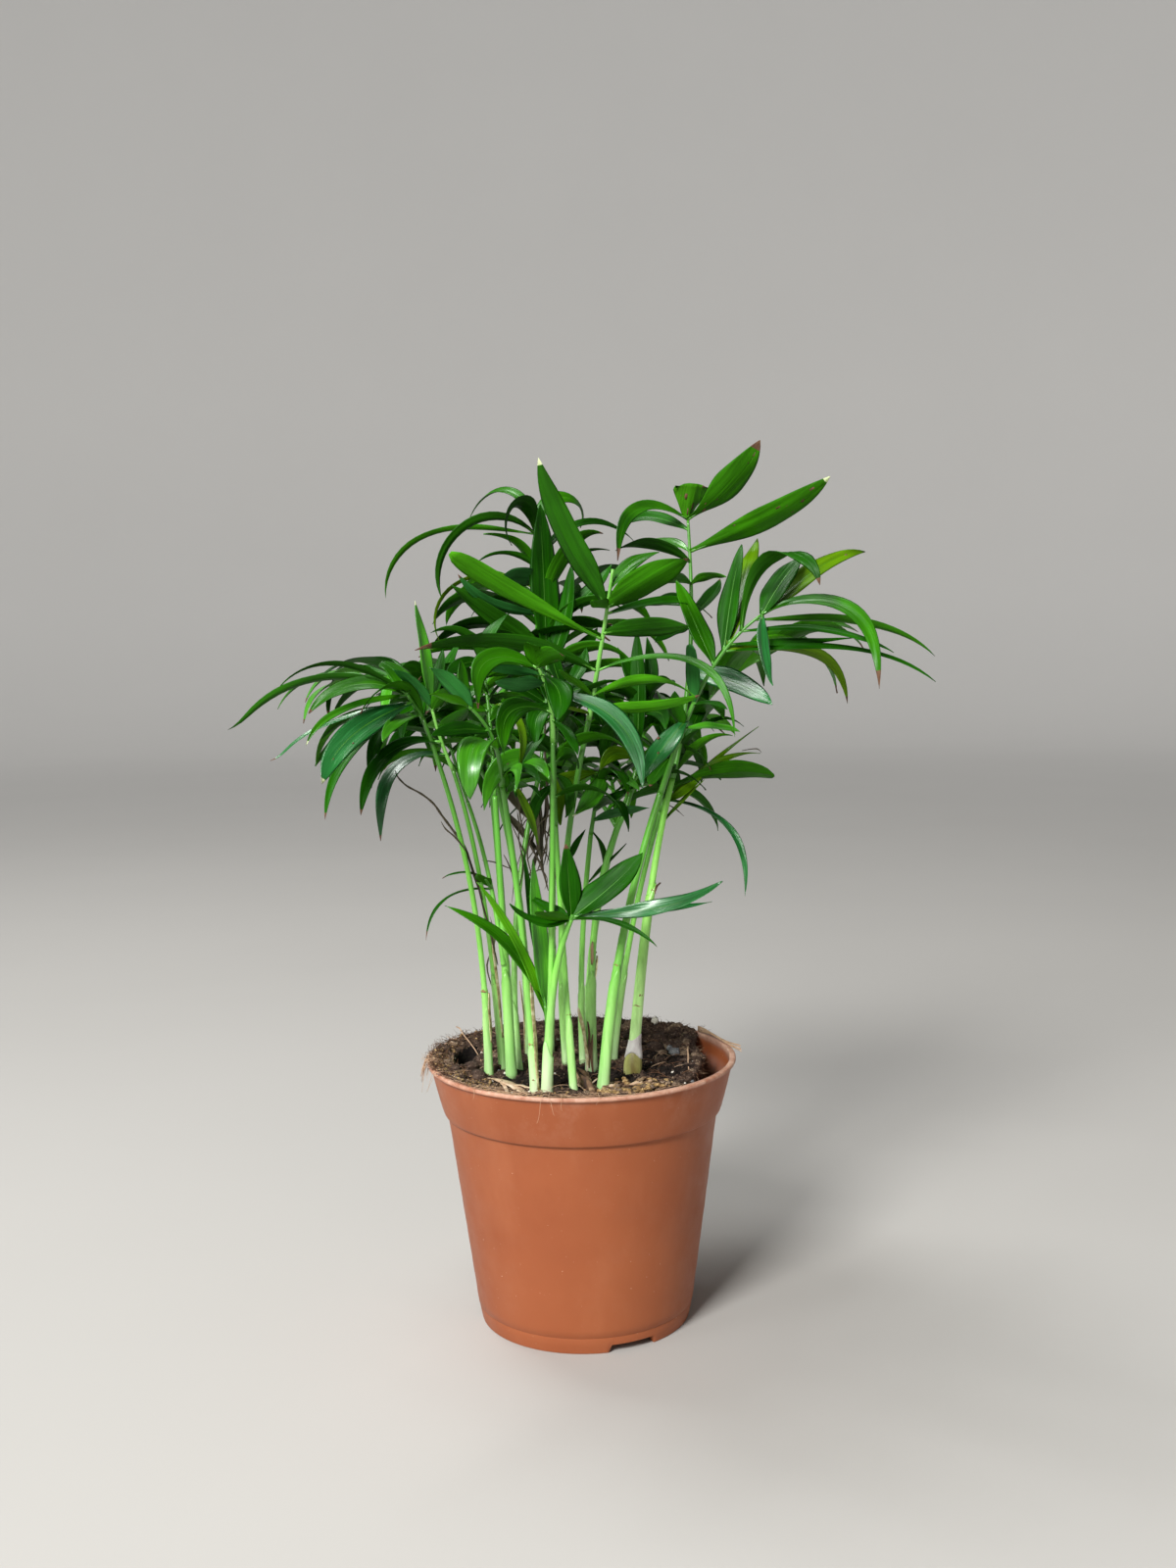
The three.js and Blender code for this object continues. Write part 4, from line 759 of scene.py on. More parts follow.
def pot_material():
    m = Mat("pot_plastic", srgb(161, 90, 52), 0.42)
    z = m.node("ShaderNodeSeparateXYZ")
    m.link(m.coord, z.inputs[0])
    cloud = m.noise(14.0, 4.0, 0.55)
    base = m.mix(m.grey(cloud, [(0.3, 0.0), (0.7, 1.0)]), srgb(147, 78, 45), srgb(162, 91, 55))
    streak = m.noise(40.0, 4.0, 0.6, vector=m.scaled(1, 1, 0.35))
    base = m.mix(m.grey(streak, [(0.55, 0.0), (0.8, 0.22)]), base, srgb(188, 120, 84))
    # dust and dried water under the lip and on the collar
    near_lip = m.math("MULTIPLY", m.math("SUBTRACT", z.outputs[2], 0.080), 45.0)
    scuff = m.noise(52.0, 6.0, 0.72, vector=m.scaled(1, 1, 0.9))
    dust = m.math("MULTIPLY", m.math("MINIMUM", m.math("MAXIMUM", near_lip, 0.10), 1.0), m.grey(scuff, [(0.52, 0.0), (0.78, 0.28)]))
    base = m.mix(dust, base, srgb(212, 172, 148))
    # the inside above the soil is dusty
    rr = m.math("SQRT", m.math("ADD", m.math("MULTIPLY", z.outputs[0], z.outputs[0]), m.math("MULTIPLY", z.outputs[1], z.outputs[1])))
    lean = m.math("SUBTRACT", m.math("ADD", m.math("MULTIPLY", m.math("SUBTRACT", z.outputs[2], 0.0827), 0.2447), 0.0535), rr)
    inside = m.math("MULTIPLY", m.math("MULTIPLY", m.math("MINIMUM", m.math("MAXIMUM", m.math("MULTIPLY", lean, 3000.0), 0.0), 1.0), m.math("MINIMUM", m.math("MAXIMUM", m.math("MULTIPLY", m.math("SUBTRACT", z.outputs[2], 0.0850), 900.0), 0.0), 1.0)), m.grey(m.noise(120.0, 4.0, 0.7), [(0.30, 0.20), (0.70, 0.80)]))
    base = m.mix(inside, base, srgb(150, 112, 100))
    # the rim is rubbed pale, and the same pale band is a painted highlight along the top of the rim
    rim_wear_and_highlight = m.math("MULTIPLY", m.math("SUBTRACT", z.outputs[2], 0.1002), 600.0)
    rim_wear_and_highlight = m.math("MULTIPLY", m.math("MINIMUM", m.math("MAXIMUM", rim_wear_and_highlight, 0.0), 1.0), m.grey(m.noise(160.0, 4.0, 0.7), [(0.36, 0.22), (0.64, 0.80)]))
    base = m.mix(rim_wear_and_highlight, base, srgb(222, 184, 162))
    specks = m.grey(m.noise(900.0, 2.0, 0.5), [(0.74, 0.0), (0.80, 0.6)])
    base = m.mix(specks, base, srgb(226, 196, 170))
    m.color(base)
    m.rough(m.grey(m.noise(80.0, 4.0, 0.6), [(0.3, 0.40), (0.75, 0.60)]))
    m.bump(m.noise(2600.0, 2.0, 0.5), 0.10, 0.0002)
    m.bump(m.noise(26.0, 2.0, 0.4), 0.10, 0.0015)
    m.bump(m.noise(300.0, 3.0, 0.6, vector=m.scaled(1, 1, 0.25)), 0.06, 0.0003)
    m.b.inputs["Specular IOR Level"].default_value = 0.32
    m.b.inputs["Subsurface Weight"].default_value = 0.06
    m.b.inputs["Subsurface Radius"].default_value = (1.0, 0.35, 0.15)
    m.b.inputs["Subsurface Scale"].default_value = 0.002
    return m


M_POT = pot_material()


def soil_material(name, a, b, c):
    m = Mat(name, b, 0.95)
    ground = m.ramp(m.noise(260.0, 6.0, 0.7), [(0.30, a), (0.52, b), (0.74, c)])
    grit = m.grey(m.noise(1150.0, 3.0, 0.65), [(0.56, 0.0), (0.68, 0.75)])
    dim = m.grey(m.noise(800.0, 3.0, 0.65), [(0.30, 0.7), (0.44, 0.0)])
    ground = m.mix(grit, ground, tuple(min(1.0, v * 1.7) for v in c[:3]) + (1.0,))
    m.color(m.mix(dim, ground, tuple(v * 0.35 for v in a[:3]) + (1.0,)))
    m.bump(m.noise(1500.0, 5.0, 0.75), 0.8, 0.0008)
    m.bump(m.noise(350.0, 4.0, 0.7), 0.7, 0.0016)
    m.set(Specular_IOR_Level=0.25)
    return m


M_SOIL = soil_material("peat", srgb(42, 30, 25), srgb(76, 58, 48), srgb(126, 104, 88))
# darker peat that paints the shade between the stems and in the dip beside the bulb
M_PAINTED_SHADE = soil_material("peat_damp", srgb(14, 10, 8), srgb(30, 21, 17), srgb(58, 44, 36))
M_HOLE = soil_material("peat_in_shade", srgb(10, 7, 6), srgb(20, 14, 12), srgb(34, 25, 21))
M_CLOD1 = soil_material("peat_clod_dark", srgb(44, 32, 27), srgb(72, 56, 48), srgb(112, 94, 82))
M_CLOD2 = soil_material("peat_clod_brown", srgb(84, 66, 54), srgb(124, 104, 86), srgb(168, 146, 124))
M_CRUMB = soil_material("bark_crumb_tan", srgb(120, 92, 58), srgb(168, 134, 88), srgb(206, 178, 130))
M_FIBRE1 = Mat("coir_tan", srgb(190, 150, 118), 0.85)
M_FIBRE1.color(M_FIBRE1.mix(M_FIBRE1.noise(300.0, 2.0), srgb(166, 128, 96), srgb(218, 186, 156)))
M_FIBRE1.bump(M_FIBRE1.noise(2500.0, 2.0), 0.3, 0.0002)
M_FIBRE2 = Mat("coir_brown", srgb(104, 70, 46), 0.85)
M_FIBRE2.color(M_FIBRE2.mix(M_FIBRE2.noise(300.0, 2.0), srgb(78, 50, 34), srgb(132, 92, 60)))
M_FIBRE2.bump(M_FIBRE2.noise(2500.0, 2.0), 0.3, 0.0002)
M_FIBRE3 = Mat("coir_dark", srgb(70, 50, 38), 0.9)
M_FIBRE3.color(M_FIBRE3.mix(M_FIBRE3.noise(300.0, 2.0), srgb(52, 36, 28), srgb(96, 72, 54)))
M_FIBRE3.bump(M_FIBRE3.noise(2500.0, 2.0), 0.3, 0.0002)
M_STRAW = Mat("bark_strip_pale", srgb(200, 172, 142), 0.7)
M_STRAW.color(M_STRAW.ramp(M_STRAW.noise(220.0, 3.0, 0.6, vector=M_STRAW.scaled(1, 1, 1)), [(0.3, srgb(150, 118, 88)), (0.5, srgb(200, 172, 142)), (0.72, srgb(226, 206, 182))]))
M_STRAW.bump(M_STRAW.noise(1500.0, 3.0), 0.3, 0.0003)
M_PERL = Mat("perlite", srgb(226, 220, 208), 0.8)
M_PERL.color(M_PERL.mix(M_PERL.noise(900.0, 4.0), srgb(196, 186, 170), srgb(238, 234, 224)))
M_PERL.bump(M_PERL.noise(2500.0, 4.0), 0.6, 0.0004)

M_STONE = soil_material("grey_stone", srgb(84, 86, 90), srgb(118, 120, 124), srgb(150, 150, 150))
M_HUSK = Mat("dead_sheath_brown", srgb(112, 82, 58), 0.8)
M_HUSK.color(M_HUSK.ramp(M_HUSK.noise(260.0, 4.0, 0.65, vector=M_HUSK.scaled(1, 1, 0.3)), [(0.32, srgb(52, 36, 26)), (0.52, srgb(112, 84, 60)), (0.72, srgb(178, 152, 118))]))
M_SCAR = Mat("sheath_scar", srgb(142, 116, 70), 0.7)
M_SCAR.color(M_SCAR.mix(M_SCAR.noise(500.0, 3.0), srgb(112, 82, 48), srgb(166, 150, 96)))
M_HUSK.bump(M_HUSK.noise(900.0, 4.0, 0.7, vector=M_HUSK.scaled(1, 1, 0.15)), 0.7, 0.0006)

# ------------------------------------------------------------------- pot
LIP_R, LIP_T, POT_H = 60.0, 1.6, 102.6
BAND_TOP_R, BAND_LOW_R, BAND_LOW_Z = 58.6, 54.1, 82.7
BODY_TOP_R, BODY_LOW_R, RING_Z, FOOT_R = 52.6, 42.3, 6.5, 41.0
WALL, FLOOR_Z, FLOOR_T, FOOT_W, PAD_R = 1.3, 3.2, 1.6, 2.2, 7.0
NOTCH_H, NOTCH_W, NOTCH_AT = 3.0, 18.0, (-65, 55, 175)


def arc(cx, cz, r, a0, a1, n):
    return [(cx + r * math.cos(rad(a0 + (a1 - a0) * i / (n - 1))), cz + r * math.sin(rad(a0 + (a1 - a0) * i / (n - 1)))) for i in range(n)]


def pot_profile():
    lip_z = POT_H - LIP_T
    slope = (BODY_TOP_R - BODY_LOW_R) / (BAND_LOW_Z - RING_Z)
    p = [(0.0, 0.0), (PAD_R - 0.4, 0.0), (PAD_R, 0.25), (PAD_R + 0.6, FLOOR_Z - 0.3), (PAD_R + 1.0, FLOOR_Z)]
    p += [(20.0, FLOOR_Z), (32.0, FLOOR_Z), (FOOT_R - FOOT_W - 0.9, FLOOR_Z), (FOOT_R - FOOT_W - 0.4, FLOOR_Z - 0.4)]
    p += [(FOOT_R - FOOT_W, 0.3), (FOOT_R - FOOT_W + 0.3, 0.0), (FOOT_R - 0.6, 0.0), (FOOT_R - 0.15, 0.15), (FOOT_R, 0.6)]
    p += [(FOOT_R + 0.55, 3.2), (BODY_LOW_R - 0.25, RING_Z - 0.5), (BODY_LOW_R - 0.32, RING_Z - 0.15), (BODY_LOW_R - 0.02, RING_Z + 0.15)]
    for i in range(1, 24):
        z = RING_Z + (BAND_LOW_Z - 1.4 - RING_Z) * i / 24
        p.append((BODY_LOW_R + slope * (z - RING_Z) + 0.10 * math.sin(i * 1.7) * 0.4, z))
    p += [(BODY_TOP_R - 0.15, BAND_LOW_Z - 1.2), (BODY_TOP_R - 0.02, BAND_LOW_Z - 0.3), (BODY_TOP_R + 0.25, BAND_LOW_Z + 0.05)]
    p += [(BAND_LOW_R - 0.7, BAND_LOW_Z - 0.05), (BAND_LOW_R - 0.2, BAND_LOW_Z + 0.1), (BAND_LOW_R, BAND_LOW_Z + 0.55)]
    for i in range(1, 10):
        t = i / 10
        p.append((BAND_LOW_R + (BAND_TOP_R - BAND_LOW_R) * (t ** 0.9), BAND_LOW_Z + 0.5 + (lip_z - 0.7 - BAND_LOW_Z - 0.5) * t))
    p += [(BAND_TOP_R - 0.05, lip_z - 0.45), (BAND_TOP_R + 0.25, lip_z - 0.05), (LIP_R - 0.5, lip_z)]
    p += arc(LIP_R - 0.55, lip_z + 0.55, 0.55, -90, 0, 4)[1:]
    p += arc(LIP_R - 0.6, POT_H - 0.6, 0.6, 0, 90, 5)
    p += [(BAND_TOP_R - 0.3, POT_H - 0.05)]
    p += arc(BAND_TOP_R - WALL + 0.9, POT_H - 0.7, 0.65, 90, 180, 4)
    p += [(BAND_TOP_R - WALL, 98.0), (BAND_LOW_R - WALL + 0.6, 88.0), (BAND_LOW_R - WALL - 0.2, BAND_LOW_Z + 1.2), (BODY_TOP_R - WALL, BAND_LOW_Z - 1.6)]
    p += [(BODY_LOW_R - WALL + 2.0, 24.0), (BODY_LOW_R - WALL - 0.6, FLOOR_Z + FLOOR_T), (20.0, FLOOR_Z + FLOOR_T), (0.0, FLOOR_Z + FLOOR_T)]
    return p


def make_pot():
    prof = pot_profile()
    seg = 240
    pot = Piece("pot_shell")
    verts, rows = [], []
    for r, z in prof:
        if r < 1e-6:
            rows.append([len(verts)])
            verts.append((0, 0, z))
            continue
        row = []
        for i in range(seg):
            a = 2 * math.pi * i / seg
            zz, rr = z, r
            # drain notches: the foot ring stops short over a short arc
            if z < NOTCH_H and FOOT_R - FOOT_W - 0.45 < r < FOOT_R + 0.56:
                for at in NOTCH_AT:
                    d = (math.degrees(a) - at + 180) % 360 - 180
                    half = math.degrees(NOTCH_W / 2 / FOOT_R)
                    if abs(d) < half:
                        zz = NOTCH_H + 0.02 * (r - 38)
            # the soft wall is a little out of round
            if z > 10:
                rr += 0.10 * math.sin(2 * a + 0.6) * (z / 100) + 0.05 * math.sin(5 * a + z * 0.05)
            row.append(len(verts))
            verts.append((rr * math.cos(a), rr * math.sin(a), zz))
        rows.append(row)
    faces = []
    for a, b in zip(rows, rows[1:]):
        if len(a) == 1:
            faces += [(a[0], b[(i + 1) % seg], b[i]) for i in range(seg)]
        elif len(b) == 1:
            faces += [(a[i], a[(i + 1) % seg], b[0]) for i in range(seg)]
        else:
            faces += [(a[i], a[(i + 1) % seg], b[(i + 1) % seg], b[i]) for i in range(seg)]
    pot.add(np.array(verts), faces)
    ob = pot.build([M_POT], "pot", ["pot"])
    # keep the foot's edges and the notch crisp
    ob.data.set_sharp_from_angle(angle=rad(50))
    return ob


# ------------------------------------------------------------------ soil
def window(a_deg, lo, hi, soft):
    """1 inside the sector lo..hi (degrees), falling to 0 over soft."""
    mid, half = (lo + hi) / 2, (hi - lo) / 2
    d = abs((a_deg - mid + 180) % 360 - 180) - half
    t = max(0.0, min(1.0, 1 - d / soft))
    return t * t * (3 - 2 * t)


def in_hollow(x, y):
    """Below 1 inside the hollow at the left."""
    return ((x + 45.4 - 0.10 * (y - 8.0)) / 4.0) ** 2 + ((y - 7.0) / 9.5) ** 2


def damp(x, y):
    """Below 0.8 where shade is painted on the soil: between the stems, and
    in the dip beside the bulb."""
    dip = ((x - 31.0) / 12.5) ** 2 + ((y + 5.0) / 27.0) ** 2
    mid = ((x + 4.0) / 30.0) ** 2 + ((y + 28.0) / 22.0) ** 2
    return min(dip, mid) + 0.7 * noise.noise(Vector((x * 0.17, y * 0.17, 3.0)))


def soil_height(x, y):
    r = math.hypot(x, y)
    a = math.degrees(math.atan2(y, x))
    v = Vector((x, y, 0.0))
    h = 100.6 + 1.5 * noise.noise(v * 0.05) + 1.3 * noise.noise(v * 0.13 + Vector((7, 3, 1)))
    h += 1.1 * noise.noise(v * 0.31 + Vector((2, 9, 4))) + 0.75 * abs(noise.noise(v * 0.72)) + 0.5 * noise.noise(v * 1.5)
    edge = max(0.0, min(1.0, (r - 38.0) / 18.0))
    # heaped up to the lip at the left and behind, level with it in front
    h += (2.0 + 0.9 * noise.noise(v * 0.2)) * window(a, 42, 205, 22) * edge ** 1.5
    h += 0.9 * window(a, -140, -70, 20) * edge
    if r > 56.0:
        h = max(h, POT_H + 0.25) if window(a, 42, 205, 22) > 0.3 else min(h, POT_H - 0.6)
    # a dark hollow at the left
    h -= 20.0 * math.exp(-in_hollow(x, y) ** 2.8)
    h -= 3.0 * math.exp(-(((x - 31.0) / 6.0) ** 2 + ((y - 4.0) / 9.0) ** 2))
    h += 2.0 * math.exp(-(((x - 24.0) / 9.0) ** 2 + ((y - 42.0) / 9.0) ** 2))
    h += 1.6 * math.exp(-(((x - 46.0) / 6.0) ** 2 + ((y - 30.0) / 8.0) ** 2))
    return h


def soil_edge(a_deg):
    gap = window(a_deg, -30, 14, 28)
    front = window(a_deg, -150, -70, 20)
    w = 0.7 * math.sin(rad(a_deg) * 9) + 0.5 * math.sin(rad(a_deg) * 23 + 1) + 0.3 * math.sin(rad(a_deg) * 51)
    return 58.7 - 1.9 * front - 11.2 * gap + w * (0.35 + 0.9 * gap) * (1 - 0.8 * front)


def make_soil():
    soil = Piece("soil_bed")
    na, nr = 300, 120
    verts = [(0, 0, soil_height(0, 0))]
    for j in range(1, nr + 1):
        for i in range(na):
            ang = 360.0 * i / na
            R = soil_edge((ang + 180) % 360 - 180) * (j / nr) ** 0.9
            x, y = R * math.cos(rad(ang)), R * math.sin(rad(ang))
            z = soil_height(x, y)
            if j == nr:
                z -= 0.5
            verts.append((x, y, z))
    skirt = [(-0.9, 94.5), (-1.6, 89.0), (-2.6, 82.0)]
    for dr, z in skirt:
        for i in range(na):
            ang = 360.0 * i / na
            R = min(soil_edge((ang + 180) % 360 - 180) + dr, 54.6 if z > 90 else 50.6)
            w = noise.noise(Vector((R * math.cos(rad(ang)) * 0.2, R * math.sin(rad(ang)) * 0.2, z * 0.2)))
            R += 0.8 * w - 0.4
            verts.append((R * math.cos(rad(ang)), R * math.sin(rad(ang)), z))
    for R, z in ((40.0, 12.0),):
        for i in range(na):
            ang = 360.0 * i / na
            verts.append((R * math.cos(rad(ang)), R * math.sin(rad(ang)), z))
    faces = [(0, 1 + i, 1 + (i + 1) % na) for i in range(na)]
    total = nr + len(skirt) + 1
    for j in range(total - 1):
        a, b = 1 + j * na, 1 + (j + 1) * na
        faces += [(a + i, b + i, b + (i + 1) % na, a + (i + 1) % na) for i in range(na)]
    faces.append(tuple(1 + (total - 1) * na + i for i in range(na - 1, -1, -1)))
    # painted shade: faces in the hollow and in the shaded spots between the stems and by the bulb get dark peat
    dark = []
    for f in faces:
        cx, cy, cz = (sum(verts[i][q] for i in f) / len(f) for q in range(3))
        dark.append(1 if cz > 75 and in_hollow(cx, cy) < 1.50 else (2 if cz > 75 and damp(cx, cy) < 0.8 else 0))
    soil.add(np.array(verts), faces, dark)
    return soil.build([M_SOIL, M_HOLE, M_PAINTED_SHADE], "soil", ["soil"])


_t = (1 + 5 ** 0.5) / 2
ICO_V = np.array([(-1, _t, 0), (1, _t, 0), (-1, -_t, 0), (1, -_t, 0), (0, -1, _t), (0, 1, _t), (0, -1, -_t), (0, 1, -_t), (_t, 0, -1), (_t, 0, 1), (-_t, 0, -1), (-_t, 0, 1)]) / math.sqrt(1 + _t * _t)
ICO_F = [(0, 11, 5), (0, 5, 1), (0, 1, 7), (0, 7, 10), (0, 10, 11), (1, 5, 9), (5, 11, 4), (11, 10, 2), (10, 7, 6), (7, 1, 8), (3, 9, 4), (3, 4, 2), (3, 2, 6), (3, 6, 8), (3, 8, 9), (4, 9, 5), (2, 4, 11), (6, 2, 10), (8, 6, 7), (9, 8, 1)]


def lump(rng, c, r, flat=0.7, rough=0.28):
    sc = np.array([r * rng.uniform(0.7, 1.3), r * rng.uniform(0.7, 1.3), r * flat * rng.uniform(0.7, 1.2)])
    v = ICO_V * sc * (1 + np.array([[rng.uniform(-rough, rough)] for _ in range(12)]))
    q = rng.uniform(0, 6.283)
    rot = np.array([[math.cos(q), -math.sin(q), 0], [math.sin(q), math.cos(q), 0], [0, 0, 1]])
    return v @ rot.T + np.array(c), ICO_F


def make_soil_bits():
    rng = random.Random(41)
    clods = Piece("soil_clods")
    for k in range(3200):
        a = rng.uniform(-180, 180)
        R = (soil_edge(a) - 0.8) * math.sqrt(rng.uniform(0.01, 0.99))
        x, y = R * math.cos(rad(a)), R * math.sin(rad(a))
        if in_hollow(x, y) < 1.6:
            continue
        r = min(1.9, 0.34 * math.exp(rng.gauss(0.30, 0.50)))
        if R > 56:
            r = min(r, 0.7)
        v, f = lump(rng, (x, y, soil_height(x, y) + r * 0.15), r)
        # most clods in the shaded spots get the dark peat too, as painted shade
        in_painted_shade = damp(x, y) < 0.8
        clods.add(v, f, 3 if in_painted_shade and rng.random() < 0.75 else (0 if rng.random() < 0.80 else 1))
    # bigger clumps, most of them behind on the right and at the left
    for k in range(64):
        a = rng.gauss(38, 26) if k < 34 else (rng.gauss(175, 22) if k < 52 else rng.uniform(-180, 180))
        R = min(soil_edge(a) - 3.5, abs(rng.gauss(42, 9)))
        x, y = R * math.cos(rad(a)), R * math.sin(rad(a))
        if in_hollow(x, y) < 2.6:
            continue
        r = rng.uniform(1.6, 3.6)
        v, f = lump(rng, (x, y, soil_height(x, y) + r * 0.05), r, 0.62, 0.36)
        clods.add(v, f, 0 if rng.random() < 0.75 else 1)
    # pale crumbs of bark at the front right, by the far right stem's foot
    for k in range(300):
        x, y = rng.gauss(17.0, 6.5), rng.gauss(-44.5, 4.2)
        if math.hypot(x, y) > 56.5:
            continue
        r = rng.uniform(0.4, 1.45)
        v, f = lump(rng, (x, y, soil_height(x, y) + r * 0.5 + rng.uniform(0, 0.6)), r, 0.6, 0.3)
        clods.add(v, f, 2 if rng.random() < 0.7 else 1)
    # fine tan grit along the front left edge and round the hollow
    for k in range(1100):
        a = rng.gauss(-148, 26)
        R = min(58.6, 59.0 - abs(rng.gauss(0, 6.0)))
        x, y = R * math.cos(rad(a)), R * math.sin(rad(a))
        if in_hollow(x, y) < 1.3 or R > soil_edge((a + 180) % 360 - 180) - 0.3:
            continue
        r = rng.uniform(0.18, 0.62)
        v, f = lump(rng, (x, y, soil_height(x, y) + r * 0.6), r, 0.8, 0.3)
        clods.add(v, f, 2 if rng.random() < 0.45 else 1)
    clods.build([M_CLOD1, M_CLOD2, M_CRUMB, M_PAINTED_SHADE], "soil")
    bits = Piece("soil_perlite")
    spots = [(-21.9, 32.0, 1.2, 0), (30.5, 43.0, 2.5, 0), (37.0, 9.0, 2.3, 1), (35.0, 16.0, 1.5, 1), (41.0, -35.0, 0.8, 1), (38.0, -38.0, 0.6, 0)]
    for k in range(34):
        a = rng.uniform(-180, 180)
        R = (soil_edge(a) - 2) * math.sqrt(rng.uniform(0.05, 0.95))
        spots.append((R * math.cos(rad(a)), R * math.sin(rad(a)), rng.uniform(0.3, 0.75), 0 if rng.random() < 0.7 else 1))
    for x, y, r, m in spots:
        v, f = lump(rng, (x, y, soil_height(x, y) + r * 0.45), r, 0.8, 0.2)
        bits.add(v, f, m)
    bits.build([M_PERL, M_STONE], "soil")


def fibre(rng, x, y, z, ang, length, r, rise=0.6, sag=0.0, wig=0.5, n=9):
    pts = []
    px, py, pz, h = x, y, z, ang
    turn = rng.uniform(-wig, wig)
    for i in range(n):
        s = i / (n - 1)
        pts.append((px, py, pz + rise * math.sin(math.pi * s)))
        h += turn / n * 3 + rng.uniform(-0.25, 0.25) * wig
        px += math.cos(h) * length / n
        py += math.sin(h) * length / n
        pz -= sag * (2 * s) * length / n
    rr = [r * (1 - 0.6 * (i / (n - 1))) for i in range(n)]
    return free_tube(pts, rr, 4)


def hair(rng, p, d, length, r, bend, n=7):
    """Loose hair from p, starting along d and curling."""
    pts, q = [], np.array(p, float)
    d = np.array(d, float) / (np.linalg.norm(d) + 1e-9)
    turn = np.array([rng.gauss(0, 1), rng.gauss(0, 1), rng.gauss(-0.25, 0.7)]) * bend
    for i in range(n):
        pts.append(q.copy())
        d = d + turn / n + np.array([rng.gauss(0, 0.12), rng.gauss(0, 0.12), rng.gauss(0, 0.12)])
        d = d / np.linalg.norm(d)
        q = q + d * length / (n - 1)
    return free_tube(pts, [r * (1 - 0.65 * i / (n - 1)) for i in range(n)], 3)


